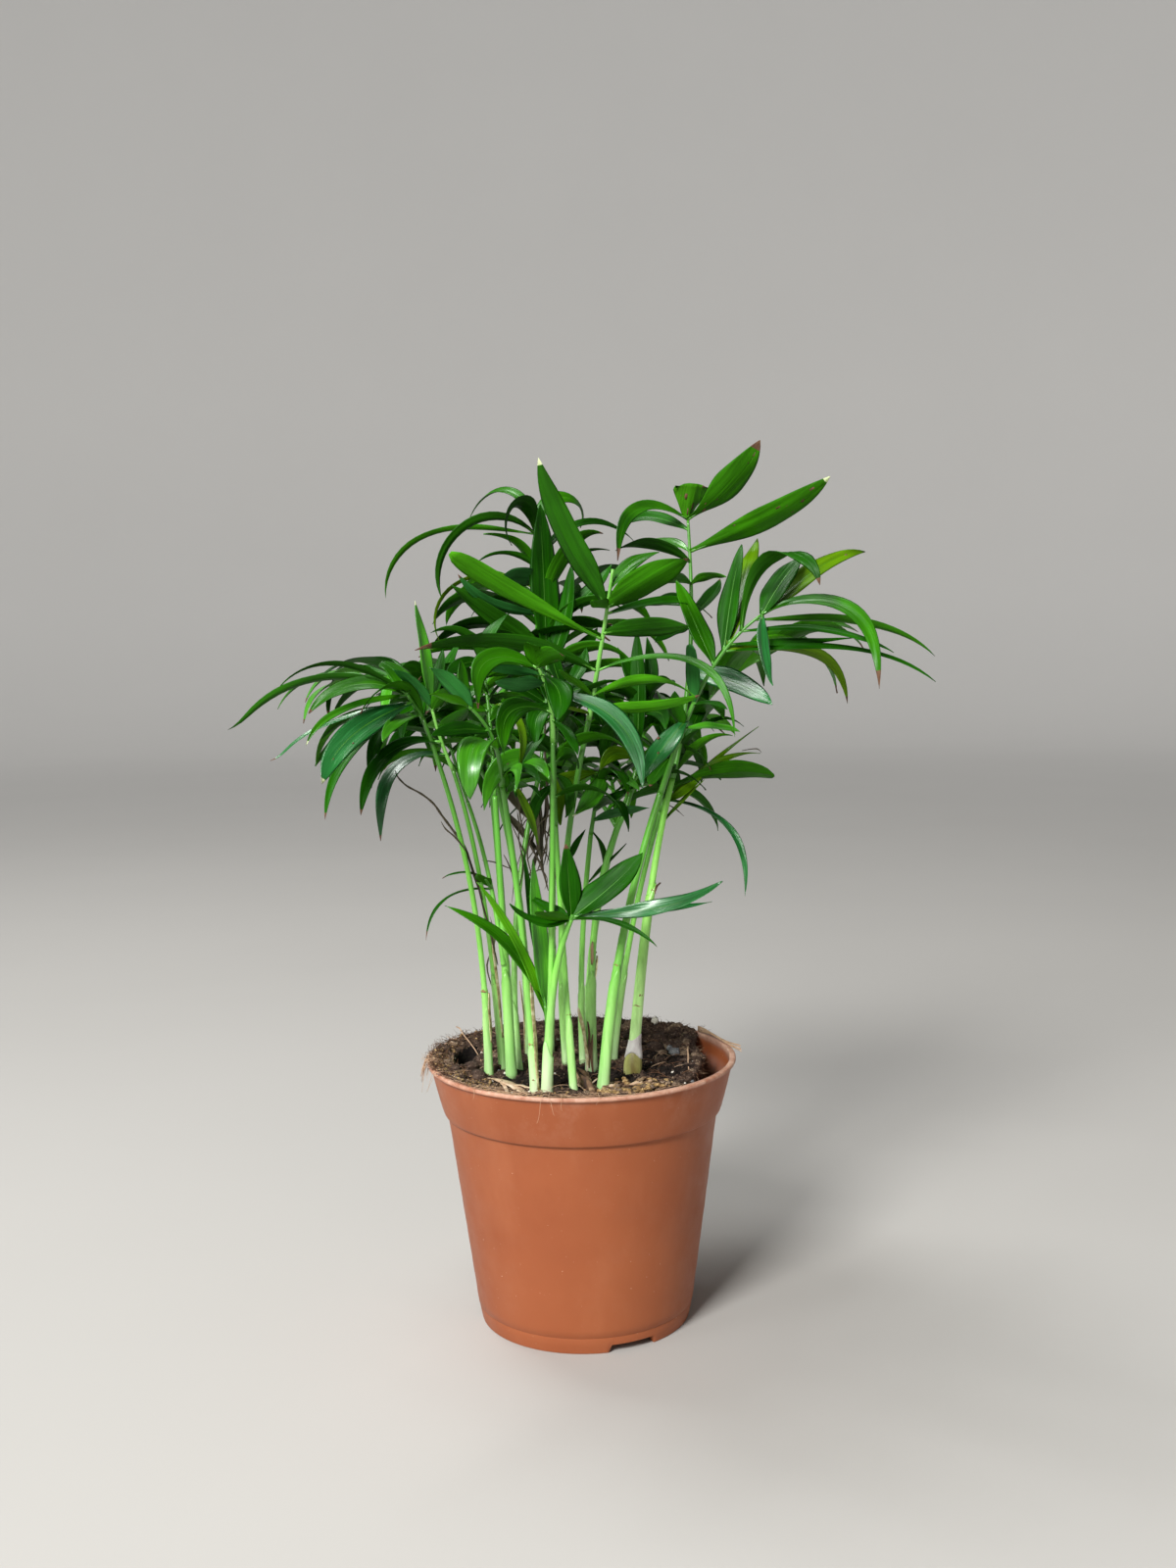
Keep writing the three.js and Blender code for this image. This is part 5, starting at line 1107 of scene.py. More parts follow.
def make_fibres():
    rng = random.Random(97)
    fib = Piece("coir_fibres")
    # lying on the bed
    for k in range(300):
        a = rng.uniform(-180, 180)
        R = (soil_edge(a) - 1) * math.sqrt(rng.uniform(0.02, 0.96))
        x, y = R * math.cos(rad(a)), R * math.sin(rad(a))
        if in_hollow(x, y) < 2.0:
            continue
        L = rng.uniform(3, 13)
        v, f = fibre(rng, x, y, soil_height(x, y) + 0.3, rng.uniform(0, 6.283), L, rng.uniform(0.06, 0.14), rng.uniform(0.3, 2.0), 0.0, 0.9)
        for i in range(len(v)):
            g = soil_height(v[i][0], v[i][1]) + 0.05
            v[i][2] = max(v[i][2], g, 100.0)
        fib.add(v, f, rng.choice([0, 1, 1, 2]))
    # fluff that stands up from the heap at the left and behind
    for k in range(900):
        a = rng.gauss(180, 24) if k < 520 else rng.uniform(30, 205)
        R = min(59.2, 59.6 - abs(rng.gauss(0, 4.5)))
        x, y = R * math.cos(rad(a)), R * math.sin(rad(a))
        z = max(soil_height(x, y), 101.0 if R < 56 else POT_H + 0.1)
        if in_hollow(x, y) < 2.4:
            continue
        d = (math.cos(rad(a)) * rng.uniform(-0.2, 0.9) + rng.gauss(0, 0.5), math.sin(rad(a)) * rng.uniform(-0.2, 0.9) + rng.gauss(0, 0.5), rng.uniform(0.15, 0.9))
        near = 1.0 if k < 520 else 0.7
        v, f = hair(rng, (x, y, z), d, rng.uniform(2.0, 5.5) * near, rng.uniform(0.06, 0.12), 1.6)
        out = np.hypot(v[:, 0], v[:, 1])
        cap = np.minimum(1.0, 61.6 / np.maximum(out, 1e-6))
        v[:, :2] *= cap[:, None]
        v[:, 2] = np.clip(v[:, 2], np.where(np.minimum(out, 61.6) > 56.5, POT_H + 0.1, 98.0), 106.2)
        fib.add(v, f, 2 if rng.random() < 0.66 else 1)
    # pale fibres felted along the front lip
    for k in range(150):
        a = rng.gauss(-108, 24)
        R = rng.uniform(53.5, 59.3)
        x, y = R * math.cos(rad(a)), R * math.sin(rad(a))
        tang = rad(a) + math.pi / 2 * rng.choice([-1, 1]) + rng.uniform(-0.35, 0.35)
        v, f = fibre(rng, x, y, max(soil_height(x, y) + 0.2, POT_H - 0.2 if R > 56.5 else 100.0), tang, rng.uniform(5, 17), rng.uniform(0.05, 0.11), rng.uniform(0.2, 0.8), 0.0, 0.6)
        out = np.hypot(v[:, 0], v[:, 1])
        v[:, :2] *= np.minimum(1.0, 59.6 / np.maximum(out, 1e-6))[:, None]
        v[out > 56.8, 2] = np.maximum(v[out > 56.8, 2], POT_H + 0.10)
        fib.add(v, f, 0 if rng.random() < 0.8 else 1)
    # along the broken edge of the bed at the right
    for k in range(90):
        a = rng.uniform(-45, 36)
        R = soil_edge(a) + rng.uniform(-1.5, 0.3)
        x, y = R * math.cos(rad(a)), R * math.sin(rad(a))
        d = (math.cos(rad(a)) * 0.7 + rng.gauss(0, 0.5), math.sin(rad(a)) * 0.7 + rng.gauss(0, 0.5), rng.gauss(0.1, 0.6))
        v, f = hair(rng, (x, y, soil_height(x, y) - rng.uniform(0, 4)), d, rng.uniform(2, 5.5), rng.uniform(0.05, 0.11), 1.4)
        v[:, :2] *= np.minimum(1.0, 56.2 / np.maximum(np.hypot(v[:, 0], v[:, 1]), 1e-6))[:, None]
        fib.add(v, f, rng.choice([0, 1, 2]))
    # hanging over the lip
    hang = [(rng.gauss(187, 8), rng.uniform(6, 19), rng.uniform(0.5, 1.0)) for _ in range(30)] + [(-103, 15, 1.0), (-101.5, 10, 1.0), (-97, 9, 0.8), (-84, 5, 0.8), (-130, 7, 0.9), (150, 8, 0.8), (95, 9, 0.8), (120, 6, 0.7)]
    for a, L, drop in hang:
        ca, sa = math.cos(rad(a)), math.sin(rad(a))
        n, pts = 12, []
        swing = rng.uniform(-0.7, 0.7)
        wig = rng.uniform(0, 6)
        for i in range(n):
            s = i / (n - 1)
            out = 55.0 + 5.6 * min(1, s * 2.6) + (L * 0.14 + 0.6) * max(0, s - 0.3)
            z = POT_H + 0.4 + 0.6 * math.sin(min(1, s * 2.4) * math.pi) - drop * L * max(0, s - 0.32) ** 1.35
            tq = swing * L * s * s * 0.6 + 0.5 * math.sin(wig + s * 7) * s
            pts.append((out * ca - tq * sa, out * sa + tq * ca, z))
        v, f = free_tube(pts, [0.11 * (1 - 0.6 * i / (n - 1)) for i in range(n)], 4)
        fib.add(v, f, 0 if rng.random() < 0.7 else 1)
    # a fine root arches over the heap behind the hollow
    stub = [(42.0, 6.0, 103.6), (41.6, 3.0, 103.2), (41.4, -4.0, 102.6), (40.8, -12.0, 102.0), (40.6, -19.0, 101.2)]
    v, f = free_tube(stub, [0.30, 0.34, 0.32, 0.26, 0.16], 6)
    fib.add(v, f, 0)
    root = [(-52.5, 42.0, 104.2), (-50.6, 36.0, 105.0), (-48.4, 27.0, 104.6), (-45.2, 17.5, 103.8), (-42.6, 9.5, 103.0), (-40.6, 3.0, 102.0), (-39.2, -1.5, 100.9)]
    v, f = free_tube(root, [0.26, 0.26, 0.25, 0.24, 0.22, 0.18, 0.12], 6)
    fib.add(v, f, 0)
    # wisps of pale hair curl out past the left lip
    for k in range(44):
        a = rng.gauss(186, 11)
        x, y = 58.6 * math.cos(rad(a)), 58.6 * math.sin(rad(a))
        v, f = hair(rng, (x, y, POT_H + 0.3), (math.cos(rad(a)) * 0.9, rng.gauss(0, 0.5), rng.uniform(-0.6, 0.5)), rng.uniform(4.0, 10.0), 0.055, 2.6, 10)
        out = np.hypot(v[:, 0], v[:, 1])
        v[:, :2] *= np.minimum(1.0, 62.6 / np.maximum(out, 1e-6))[:, None]
        out = np.minimum(out, 62.6)
        v[:, 2] = np.where(out < 60.4, np.maximum(v[:, 2], POT_H + 0.1), v[:, 2])
        fib.add(v, f, 0)
    # one long loose fibre with a split end lies along the right lip
    for off, sp in ((0.0, 0.0), (0.5, 1.3), (-0.3, -1.0), (0.9, 0.5), (0.2, -0.5)):
        pts = []
        for i in range(13):
            s = i / 12
            pts.append((48.0 + 14.5 * s, 33.0 - 31.0 * s + sp * s * s * 2, 103.6 + off * 0.5 + 1.0 * math.sin(s * 5 + off) * (1 - s) - 0.2 * s + 0.4 * sp * s ** 3))
        v, f = free_tube(pts, [0.42 * (1 - 0.055 * i) for i in range(13)], 6)
        fib.add(v, f, 0)
    fib.build([M_FIBRE1, M_FIBRE2, M_FIBRE3], "soil")
    # a pale strip of bark and a shrivelled sheath lie on the bed in front
    husk = Piece("bark_strips")
    for (x0, y0), (x1, y1), w, m in (((-35.0, -27.0), (-16.0, -52.0), 2.5, 0), ((-29.0, -36.0), (-9.0, -51.5), 1.4, 0), ((-33.0, -30.0), (-25.0, -50.0), 0.8, 0), ((27.0, -30.0), (9.0, -47.0), 0.9, 1), ((8.0, -36.0), (22.0, -50.0), 0.8, 0)):
        pts = []
        for i in range(11):
            s = i / 10
            x, y = x0 + (x1 - x0) * s + 1.2 * math.sin(s * 4), y0 + (y1 - y0) * s
            pts.append((x, y, max(soil_height(x, y) + 0.55, 101.4) + 0.6 * math.sin(s * 6)))
        t = np.gradient(np.array(pts), axis=0)
        t /= np.linalg.norm(t, axis=1)[:, None]
        up = np.tile(np.array([[0.0, 0.25, 1.0]]), (11, 1))
        B = np.cross(t, up)
        B /= np.linalg.norm(B, axis=1)[:, None]
        N = np.cross(B, t)
        rr = [w * math.sin(math.pi * (0.12 + 0.82 * i / 10)) for i in range(11)]
        v, f = tube(np.array(pts), t, N, B, rr, 8, 0.22)
        husk.add(v, f, m)
    for k in range(34):
        # torn shreds of old sheath among the crumbs
        x, y = rng.gauss(15.0, 8.0), rng.gauss(-43.5, 4.0)
        if math.hypot(x, y) > 54.0:
            continue
        q, ln = rng.uniform(0, 6.283), rng.uniform(2.0, 6.0)
        lift = rng.uniform(0.2, 1.8)
        base = np.array([x, y, soil_height(x, y) + 0.5])
        tip = base + np.array([math.cos(q) * ln, abs(math.sin(q)) * ln * 0.8, lift])
        mid = (base + tip) / 2 + np.array([0, 0, 0.6])
        w = rng.uniform(0.3, 0.75)
        v, f = free_tube([base, (base + mid) / 2, mid, (mid + tip) / 2, tip], [w, w * 1.1, w, w * 0.7, w * 0.2], 5)
        husk.add(v, f, 0 if rng.random() < 0.55 else 1)
    for k in range(9):
        q = rng.uniform(0, 1)
        base = np.array([4.5 - 4.0 * q + rng.gauss(0, 1.3), -48.0 + 14.0 * q, 100.8])
        tip = base + np.array([rng.gauss(-2.5, 1.2), rng.uniform(2, 7), rng.uniform(2.0, 6.0)])
        mid = (base + tip) / 2 + np.array([rng.gauss(0, 0.6), 0, 0.8])
        v, f = free_tube([base, (base + mid) / 2, mid, (mid + tip) / 2, tip], [1.3, 1.25, 1.0, 0.7, 0.15], 7)
        husk.add(v, f, 1)
    husk.build([M_STRAW, M_HUSK], "soil")


make_pot()
make_soil()
make_soil_bits()
make_fibres()


# ---------------------------------------------------------------- stems
STEM_LIMBS = {}
SOIL_Z = 100.4


def cane(d0, d1, s):
    """Radius along a stem, thinning quickly above the old sheaths."""
    return (d0 + (0.88 * d1 - d0) * s ** 0.66) / 2


NODES = {
    "stem_left": [(0.245, 0.16)], "stem_left_second": [(0.30, 0.12)], "stem_left_third": [(0.48, 0.20)], "stem_front_left": [(0.36, 0.10)],
    "stem_front_right": [(0.30, 0.10)], "stem_middle_right": [(0.36, 0.12)], "stem_right": [(0.42, 0.10)], "stem_far_right": [(0.24, 0.06), (0.62, 0.12)],
    "stem_back_left": [(0.3, 0.12)], "stem_back_right": [(0.34, 0.12)],
}


def make_stems():
    rng = random.Random(5)
    for row in STEMS:
        name, x, y, z, az, el, ln, dr, k, sw, d0, d1 = row
        limb = Limb(np.array([x, y, z], float), rad(az), rad(el), ln, rad(dr), k, rad(sw))
        STEM_LIMBS[name] = limb
        rooted = z < SOIL_Z + 2
        m = 70
        s = np.linspace(-0.028 if rooted else 0.0, 1.0, m)
        P = limb.at(np.maximum(s, 0))
        T, N, B = limb.dirs(s)
        P = P + T * np.minimum(s, 0)[:, None] * ln
        ss = np.maximum(s, 0)
        r = cane(d0, d1, ss)
        if rooted:
            r = r * (1 + 0.14 * np.exp(-((ss / 0.035) ** 2)))
        # the old sheath ends in a collar and the stalk goes on thinner
        for q, drop in NODES.get(name, ()):
            r = r * (1 - drop * np.clip((ss - q) / 0.008, 0, 1) * np.clip(1 - (ss - q) / 0.5, 0, 1)) * (1 + 0.05 * np.exp(-(((ss - q) / 0.007) ** 2)))
        # rings where old leaves were, closer together near the foot
        rings = []
        q = rng.uniform(0.05, 0.11)
        while q < 0.62 and rooted:
            rings.append(q)
            q += rng.uniform(0.09, 0.17)
        for q in rings:
            r = r * (1 + 0.055 * np.exp(-(((ss - q) / 0.006) ** 2)) - 0.03 * np.exp(-(((ss - q - 0.016) / 0.009) ** 2)))
        sides = 14
        ang = np.arange(sides) * 2 * math.pi / sides
        ph = rng.uniform(0, 6.28)
        bumps = 1 + 0.03 * np.cos(2 * ang + ph)[None, :] + 0.012 * np.cos(5 * ang)[None, :] * np.ones((m, 1))
        v, f = tube(P, T, N, B, r, sides, 1.0, bumps)
        st = Piece(name + "_cane")
        st.add(v, f)
        st.build([M_STEM2 if name == "stem_far_right" else M_STEM], "stem", [name])
    make_sheaths()


# Sleeves: stem, from, to, direction of the mouth's point, how much further the
# point goes, look (g green, w pale, d papery), gap over the stem.
SLEEVES = [
    ("stem_left", 0.0, 0.165, -70, 0.04, "g", 0.22), ("stem_left_second", 0.0, 0.27, -110, 0.07, "g", 0.20),
    ("stem_left_third", 0.0, 0.34, -90, 0.055, "g", 0.30), ("stem_left_inner", 0.0, 0.19, -120, 0.05, "g", 0.2),
    ("stem_front_left", 0.0, 0.14, -95, 0.03, "w", 0.3), ("stem_front", 0.0, 0.22, -130, 0.10, "w", 0.3),
    ("stem_front_right", 0.0, 0.24, -60, 0.06, "g", 0.2), ("stem_middle", 0.0, 0.2, -100, 0.05, "g", 0.2),
    ("stem_middle_right", 0.0, 0.33, -80, 0.06, "g", 0.3), ("stem_middle_right_twin", 0.0, 0.3, -60, 0.06, "g", 0.2),
    ("stem_right", 0.0, 0.36, -70, 0.065, "g", 0.3), ("stem_right_twin", 0.0, 0.3, -40, 0.06, "g", 0.2),
    ("stem_far_right", 0.0, 0.090, -100, 0.0, "b", 0.9), ("stem_far_right", 0.068, 0.118, -30, 0.026, "v", 0.5),
    ("stem_far_right", 0.085, 0.60, -20, 0.05, "p", 0.2),
    ("stem_back_left", 0.0, 0.25, 120, 0.06, "g", 0.2), ("stem_back_middle", 0.0, 0.3, 90, 0.06, "n", 0.2),
    ("stem_back_right", 0.0, 0.22, 60, 0.05, "g", 0.25), ("stem_back_far_right", 0.0, 0.28, 40, 0.06, "g", 0.2),
    ("stem_back_far_left", 0.0, 0.3, 150, 0.06, "n", 0.2),
]
# Brown scars of old sheaths: stem, place, direction, half angle, height.
SCARS = [
    ("stem_left", 0.245, -100, 70, 0.009), ("stem_left_third", 0.475, -80, 70, 0.008), ("stem_left_second", 0.30, -60, 50, 0.006),
    ("stem_far_right", 0.235, -110, 62, 0.005), ("stem_far_right", 0.27, -70, 20, 0.008), ("stem_far_right", 0.62, -40, 50, 0.010), ("stem_right", 0.42, -110, 45, 0.005),
    ("stem_front_left", 0.10, -70, 40, 0.010), ("stem_front_left", 0.17, -110, 30, 0.012), ("stem_front_left", 0.055, -100, 24, 0.014), ("stem_front_right", 0.30, -70, 34, 0.005),
    ("stem_back_right", 0.34, 60, 80, 0.010), ("stem_back_left", 0.3, 110, 80, 0.010), ("stem_back_far_left", 0.4, 150, 80, 0.010), ("stem_back_middle", 0.36, 90, 70, 0.010),
]
# Dry strips that cling to one side: stem, from, to, direction, half angle,
# how far the top end stands off, look.
STRIPS = [
    ("stem_front_left", 0.02, 0.40, -40, 30, 0.7, "d"), ("stem_middle_right", 0.0, 0.25, -135, 15, 4.2, "d"),
    ("stem_middle_right", 0.0, 0.15, -85, 9, 1.6, "k"), ("stem_middle_right", 0.02, 0.20, -105, 7, 3.0, "k"),
    ("stem_middle_right", 0.41, 0.50, -95, 17, 0.3, "k"), ("stem_left_second", 0.12, 0.50, -40, 26, 0.7, "d"),
    ("stem_far_right", 0.61, 0.65, -20, 30, 1.4, "k"), ("stem_left_third", 0.46, 0.495, -60, 26, 0.3, "k"),
    ("stem_left", 0.10, 0.24, -30, 24, 0.3, "d"),
    ("stem_back_middle", 0.04, 0.3, 80, 36, 0.8, "d"),
    ("stem_back_far_left", 0.02, 0.22, 170, 40, 0.9, "d"), ("stem_back_right", 0.1, 0.33, 40, 30, 0.6, "d"),
]


def stem_row(name):
    return [r for r in STEMS if r[0] == name][0]


def skin_point(name, q, th, extra):
    """Point on a stem's skin at place q, turned th degrees from +X."""
    limb, row = STEM_LIMBS[name], stem_row(name)
    q = min(max(q, 0.0), 1.0)
    p = limb.at(q)[0]
    t, n, b = (u[0] for u in limb.dirs(q))
    d = np.array([math.cos(rad(th)), math.sin(rad(th)), 0.0])
    d = d - t * (d @ t)
    d /= np.linalg.norm(d)
    r = cane(row[10], row[11], q) * (1 + 0.14 * math.exp(-((q / 0.035) ** 2)))
    return p + d * (r * 1.035 + extra), d


def make_sheaths():
    rng = random.Random(31)
    pc = Piece("leaf_sheaths")
    sides, rows = 18, 16
    for name, a0, a1, face, point, look, gap in SLEEVES:
        skin = []
        for j in range(rows):
            t = j / (rows - 1)
            ring = []
            for i in range(sides):
                th = face + 360.0 * i / sides
                near = (0.5 + 0.5 * math.cos(rad(th - face))) ** 4
                q = a0 + (a1 - a0) * t + point * near * max(0.0, t - 0.35) / 0.65
                e = gap * (0.35 + 0.65 * t) + (0.12 * math.sin(i * 2.1 + j * 0.7) if look == "d" else 0.0)
                if look == "b":
                    e = 1.15 * math.sin(math.pi * (0.10 + 0.86 * t)) ** 0.9 - 0.1
                elif look == "v":
                    q -= 0.012 * (1 - t) * math.sin(i * 0.7 + 1.0)
                    e = 0.15 + 1.05 * max(0.0, math.sin(math.pi * (0.10 + 0.86 * min(1.0, q / 0.110)))) ** 0.9 + 0.07 * math.sin(i * 2.6 + j * 0.5)
                ring.append(skin_point(name, q, th, e * (0.5 if t == 0 else 1.0))[0])
            skin.append(ring)
        skin = np.array(skin)
        cen = skin.mean(axis=1, keepdims=True)
        rad_len = np.linalg.norm(skin - cen, axis=2, keepdims=True)
        inner = cen + (skin - cen) * np.maximum(0.3, (rad_len - 0.22) / np.maximum(rad_len, 1e-6))
        both = np.concatenate([skin, inner[::-1]], 0)
        n = both.shape[0]
        faces = grid_faces(n, sides)
        faces += [((n - 1) * sides + i, (n - 1) * sides + (i + 1) % sides, (i + 1) % sides, i) for i in range(sides)]
        base = {"g": 0, "n": 0, "w": 1, "b": 4, "v": 5, "p": 6}[look]
        mats = []
        for fi in range(len(faces)):
            j = min(fi // sides, n - 1)
            jj = j if j < rows else 2 * rows - 1 - j
            i = fi % sides
            near = math.cos(rad(360.0 * i / sides))
            mats.append(3 if (jj >= rows - 2 and near > 0.72 and look == "n") else base)
        pc.add(both.reshape(-1, 3), faces, mats)
    for name, q, face, half, wide in SCARS:
        n, m = 3, 9
        top = []
        for j in range(n):
            top.append([skin_point(name, q + wide * (j / (n - 1) - 0.5) * (0.5 + 0.5 * math.sin(i * 0.9 + q * 70)) + 0.0016 * math.sin(i * 1.3 + q * 40), face + half * (-1 + 2 * i / (m - 1)), 0.10 + (0.12 if j == 1 else 0.0))[0] for i in range(m)])
        top = np.array(top)
        cen = np.array([STEM_LIMBS[name].at(min(1.0, q))[0]] * n)[:, None, :]
        back = top + (cen - top) / np.linalg.norm(cen - top, axis=2, keepdims=True) * 0.3
        o = n * m
        faces = grid_faces(n, m, wrap=False) + [tuple(o + u for u in f[::-1]) for f in grid_faces(n, m, wrap=False)]
        for j in range(n - 1):
            faces.append((j * m, (j + 1) * m, o + (j + 1) * m, o + j * m))
            faces.append((j * m + m - 1, o + j * m + m - 1, o + (j + 1) * m + m - 1, (j + 1) * m + m - 1))
        for i in range(m - 1):
            faces.append((i, o + i, o + i + 1, i + 1))
            faces.append(((n - 1) * m + i, (n - 1) * m + i + 1, o + (n - 1) * m + i + 1, o + (n - 1) * m + i))
        pc.add(np.vstack([top.reshape(-1, 3), back.reshape(-1, 3)]), faces, 7)
    for name, a0, a1, face, half, off, look in STRIPS:
        n, m = 15, 7
        top = []
        wob = rng.uniform(0, 6)
        for j in range(n):
            t = j / (n - 1)
            width = half * min(1.0, 0.35 + 2.5 * t) * (1 - t ** 3) ** 0.7 * (1 + 0.15 * math.sin(wob + 9 * t)) + 2
            row = []
            for i in range(m):
                x = -1 + 2 * i / (m - 1)
                lift = 0.35 + off * t ** 2.2 + 0.25 * (x * x) * t + 0.1 * math.sin(wob + 11 * t + 3 * x)
                row.append(skin_point(name, a0 + (a1 - a0) * t, face + x * width + 5 * math.sin(wob + 5 * t), lift)[0])
            top.append(row)
        top = np.array(top)
        cen = np.array([STEM_LIMBS[name].at(min(1.0, a0 + (a1 - a0) * j / (n - 1)))[0] for j in range(n)])[:, None, :]
        back = top + (cen - top) / np.linalg.norm(cen - top, axis=2, keepdims=True) * 0.3
        verts = np.vstack([top.reshape(-1, 3), back.reshape(-1, 3)])
        o = n * m
        faces = grid_faces(n, m, wrap=False)
        faces += [tuple(o + q for q in f[::-1]) for f in grid_faces(n, m, wrap=False)]
        for j in range(n - 1):
            faces.append((j * m, (j + 1) * m, o + (j + 1) * m, o + j * m))
            faces.append((j * m + m - 1, o + j * m + m - 1, o + (j + 1) * m + m - 1, (j + 1) * m + m - 1))
        for i in range(m - 1):
            faces.append((i, o + i, o + i + 1, i + 1))
            k = (n - 1) * m
            faces.append((k + i, k + i + 1, o + k + i + 1, o + k + i))
        pc.add(verts, faces, 2 if look == "d" else 3)
    pc.build([M_STEM, M_SHEATH_PALE, M_SHEATH, M_HUSK, M_BULB, M_VEIL, M_STEM2, M_SCAR], "stem")


# Dead leaf stalks and strands that hang in the clump: name, radius, points.
STRANDS = [
    ("side_strand", 0.55, [(-36.1, -22.0, 168.1), (-38.7, -24.4, 177.7), (-41.9, -26.9, 188.7), (-45.9, -29.3, 195.3), (-49.5, -31.8, 201.0), (-52.3, -34.2, 205.7), (-56.3, -36.7, 209.5), (-61.2, -39.1, 212.7), (-64.0, -41.6, 216.1), (-64.7, -44.0, 218.8)]),
    ("side_twig", 0.40, [(-41.0, -30.0, 187.3), (-44.6, -32.0, 192.7), (-48.0, -34.0, 196.2), (-49.5, -36.0, 199.3)]),
    ("low_strand", 0.50, [(-30.9, -20.0, 142.7), (-33.6, -20.5, 155.9), (-35.9, -21.0, 165.3), (-37.5, -21.5, 172.8), (-38.9, -22.0, 177.4)]),
    ("tangle_1", 0.90, [(-19.5, 14.0, 167.1), (-17.8, 15.3, 176.6), (-15.0, 16.7, 184.3), (-13.3, 18.0, 193.9), (-12.3, 19.3, 207.4), (-12.8, 20.7, 223.0), (-12.2, 22.0, 235.4)]),
    ("tangle_2", 0.55, [(-12.0, 10.0, 167.5), (-14.6, 11.5, 176.3), (-19.1, 13.0, 184.0), (-22.9, 14.5, 191.7), (-24.0, 16.0, 197.8)]),
    ("tangle_3", 0.45, [(-16.3, 4.0, 174.3), (-13.2, 6.0, 182.5), (-11.1, 8.0, 192.2), (-9.1, 10.0, 199.7)]),
    ("tangle_4", 0.50, [(-22.2, 18.0, 176.3), (-19.3, 20.0, 187.1), (-16.1, 22.0, 193.9), (-14.8, 24.0, 202.3)]),
    ("tangle_5", 0.40, [(-23.5, 8.0, 168.0), (-21.8, 9.3, 176.8), (-23.6, 10.7, 188.3), (-20.8, 12.0, 196.6)]),
    ("tangle_6", 0.35, [(-14.7, 12.0, 188.7), (-16.9, 10.5, 193.6), (-19.9, 9.0, 194.6), (-21.9, 7.5, 191.3), (-20.7, 6.0, 186.5)]),
    ("tangle_7", 0.45, [(-10.2, 16.0, 168.6), (-7.7, 17.3, 179.3), (-11.8, 18.7, 187.9), (-16.5, 20.0, 191.0)]),
    ("tangle_8", 0.40, [(-17.5, 2.0, 170.8), (-20.0, 3.5, 182.2), (-16.0, 5.0, 191.5), (-10.6, 6.5, 197.0), (-7.5, 8.0, 202.6)]),
    ("tangle_9", 0.55, [(-12.5, 14.0, 206.4), (-11.9, 12.0, 198.0), (-13.2, 13.0, 190.2), (-12.5, 12.0, 182.5), (-14.2, 12.0, 174.7)]),
    ("tangle_10", 0.50, [(-9.8, 10.0, 204.4), (-11.1, 10.0, 194.3), (-10.5, 9.0, 186.7), (-12.6, 10.0, 176.5)]),
    ("tangle_11", 0.45, [(-15.0, 16.0, 203.1), (-14.4, 15.0, 193.8), (-15.2, 15.0, 187.6), (-13.4, 14.0, 179.1)]),
    ("tangle_12", 0.45, [(-21.9, 18.0, 208.5), (-23.3, 16.0, 197.0), (-21.5, 16.0, 186.0), (-24.4, 15.0, 176.0)]),
    ("tangle_13", 0.35, [(-26.3, 12.0, 192.0), (-22.5, 11.0, 184.3), (-21.1, 11.0, 179.6), (-23.5, 10.0, 173.6)]),
    ("tangle_14", 0.35, [(-20.4, 12.0, 177.9), (-16.4, 11.0, 182.7), (-13.3, 10.0, 180.4), (-11.1, 9.0, 175.9)]),
    ("tangle_15", 0.32, [(-18.1, 12.0, 175.5), (-19.3, 11.0, 172.6), (-14.9, 10.0, 175.4), (-12.3, 9.0, 172.0), (-13.5, 9.0, 167.3)]),
    ("left_twig", 0.32, [(-36.4, -14.0, 181.8), (-31.7, -12.0, 180.7), (-27.3, -11.0, 178.6), (-22.6, -10.0, 176.5)]),
    ("tangle_16", 0.60, [(-17.4, 20.0, 205.1), (-19.0, 19.0, 199.0), (-17.2, 18.0, 192.0), (-18.5, 17.0, 183.5), (-16.6, 16.0, 176.5)]),
    ("low_tangle", 0.32, [(-29.2, 4.0, 181.5), (-27.0, 4.0, 176.8), (-25.6, 5.0, 170.5), (-26.5, 5.0, 162.0)]),
    ("right_curl", 0.30, [(33.9, -6.0, 201.4), (37.6, -7.0, 199.2), (40.5, -8.0, 196.6)]),
    ("right_top_curl", 0.30, [(63.1, -4.0, 221.1), (68.6, -5.0, 221.8), (70.4, -6.0, 220.3)]),
    ("low_left_strand", 0.40, [(-33.9, -6.0, 130.3), (-36.0, -5.3, 139.8), (-32.8, -4.7, 149.2), (-34.5, -4.0, 158.6)]),
]


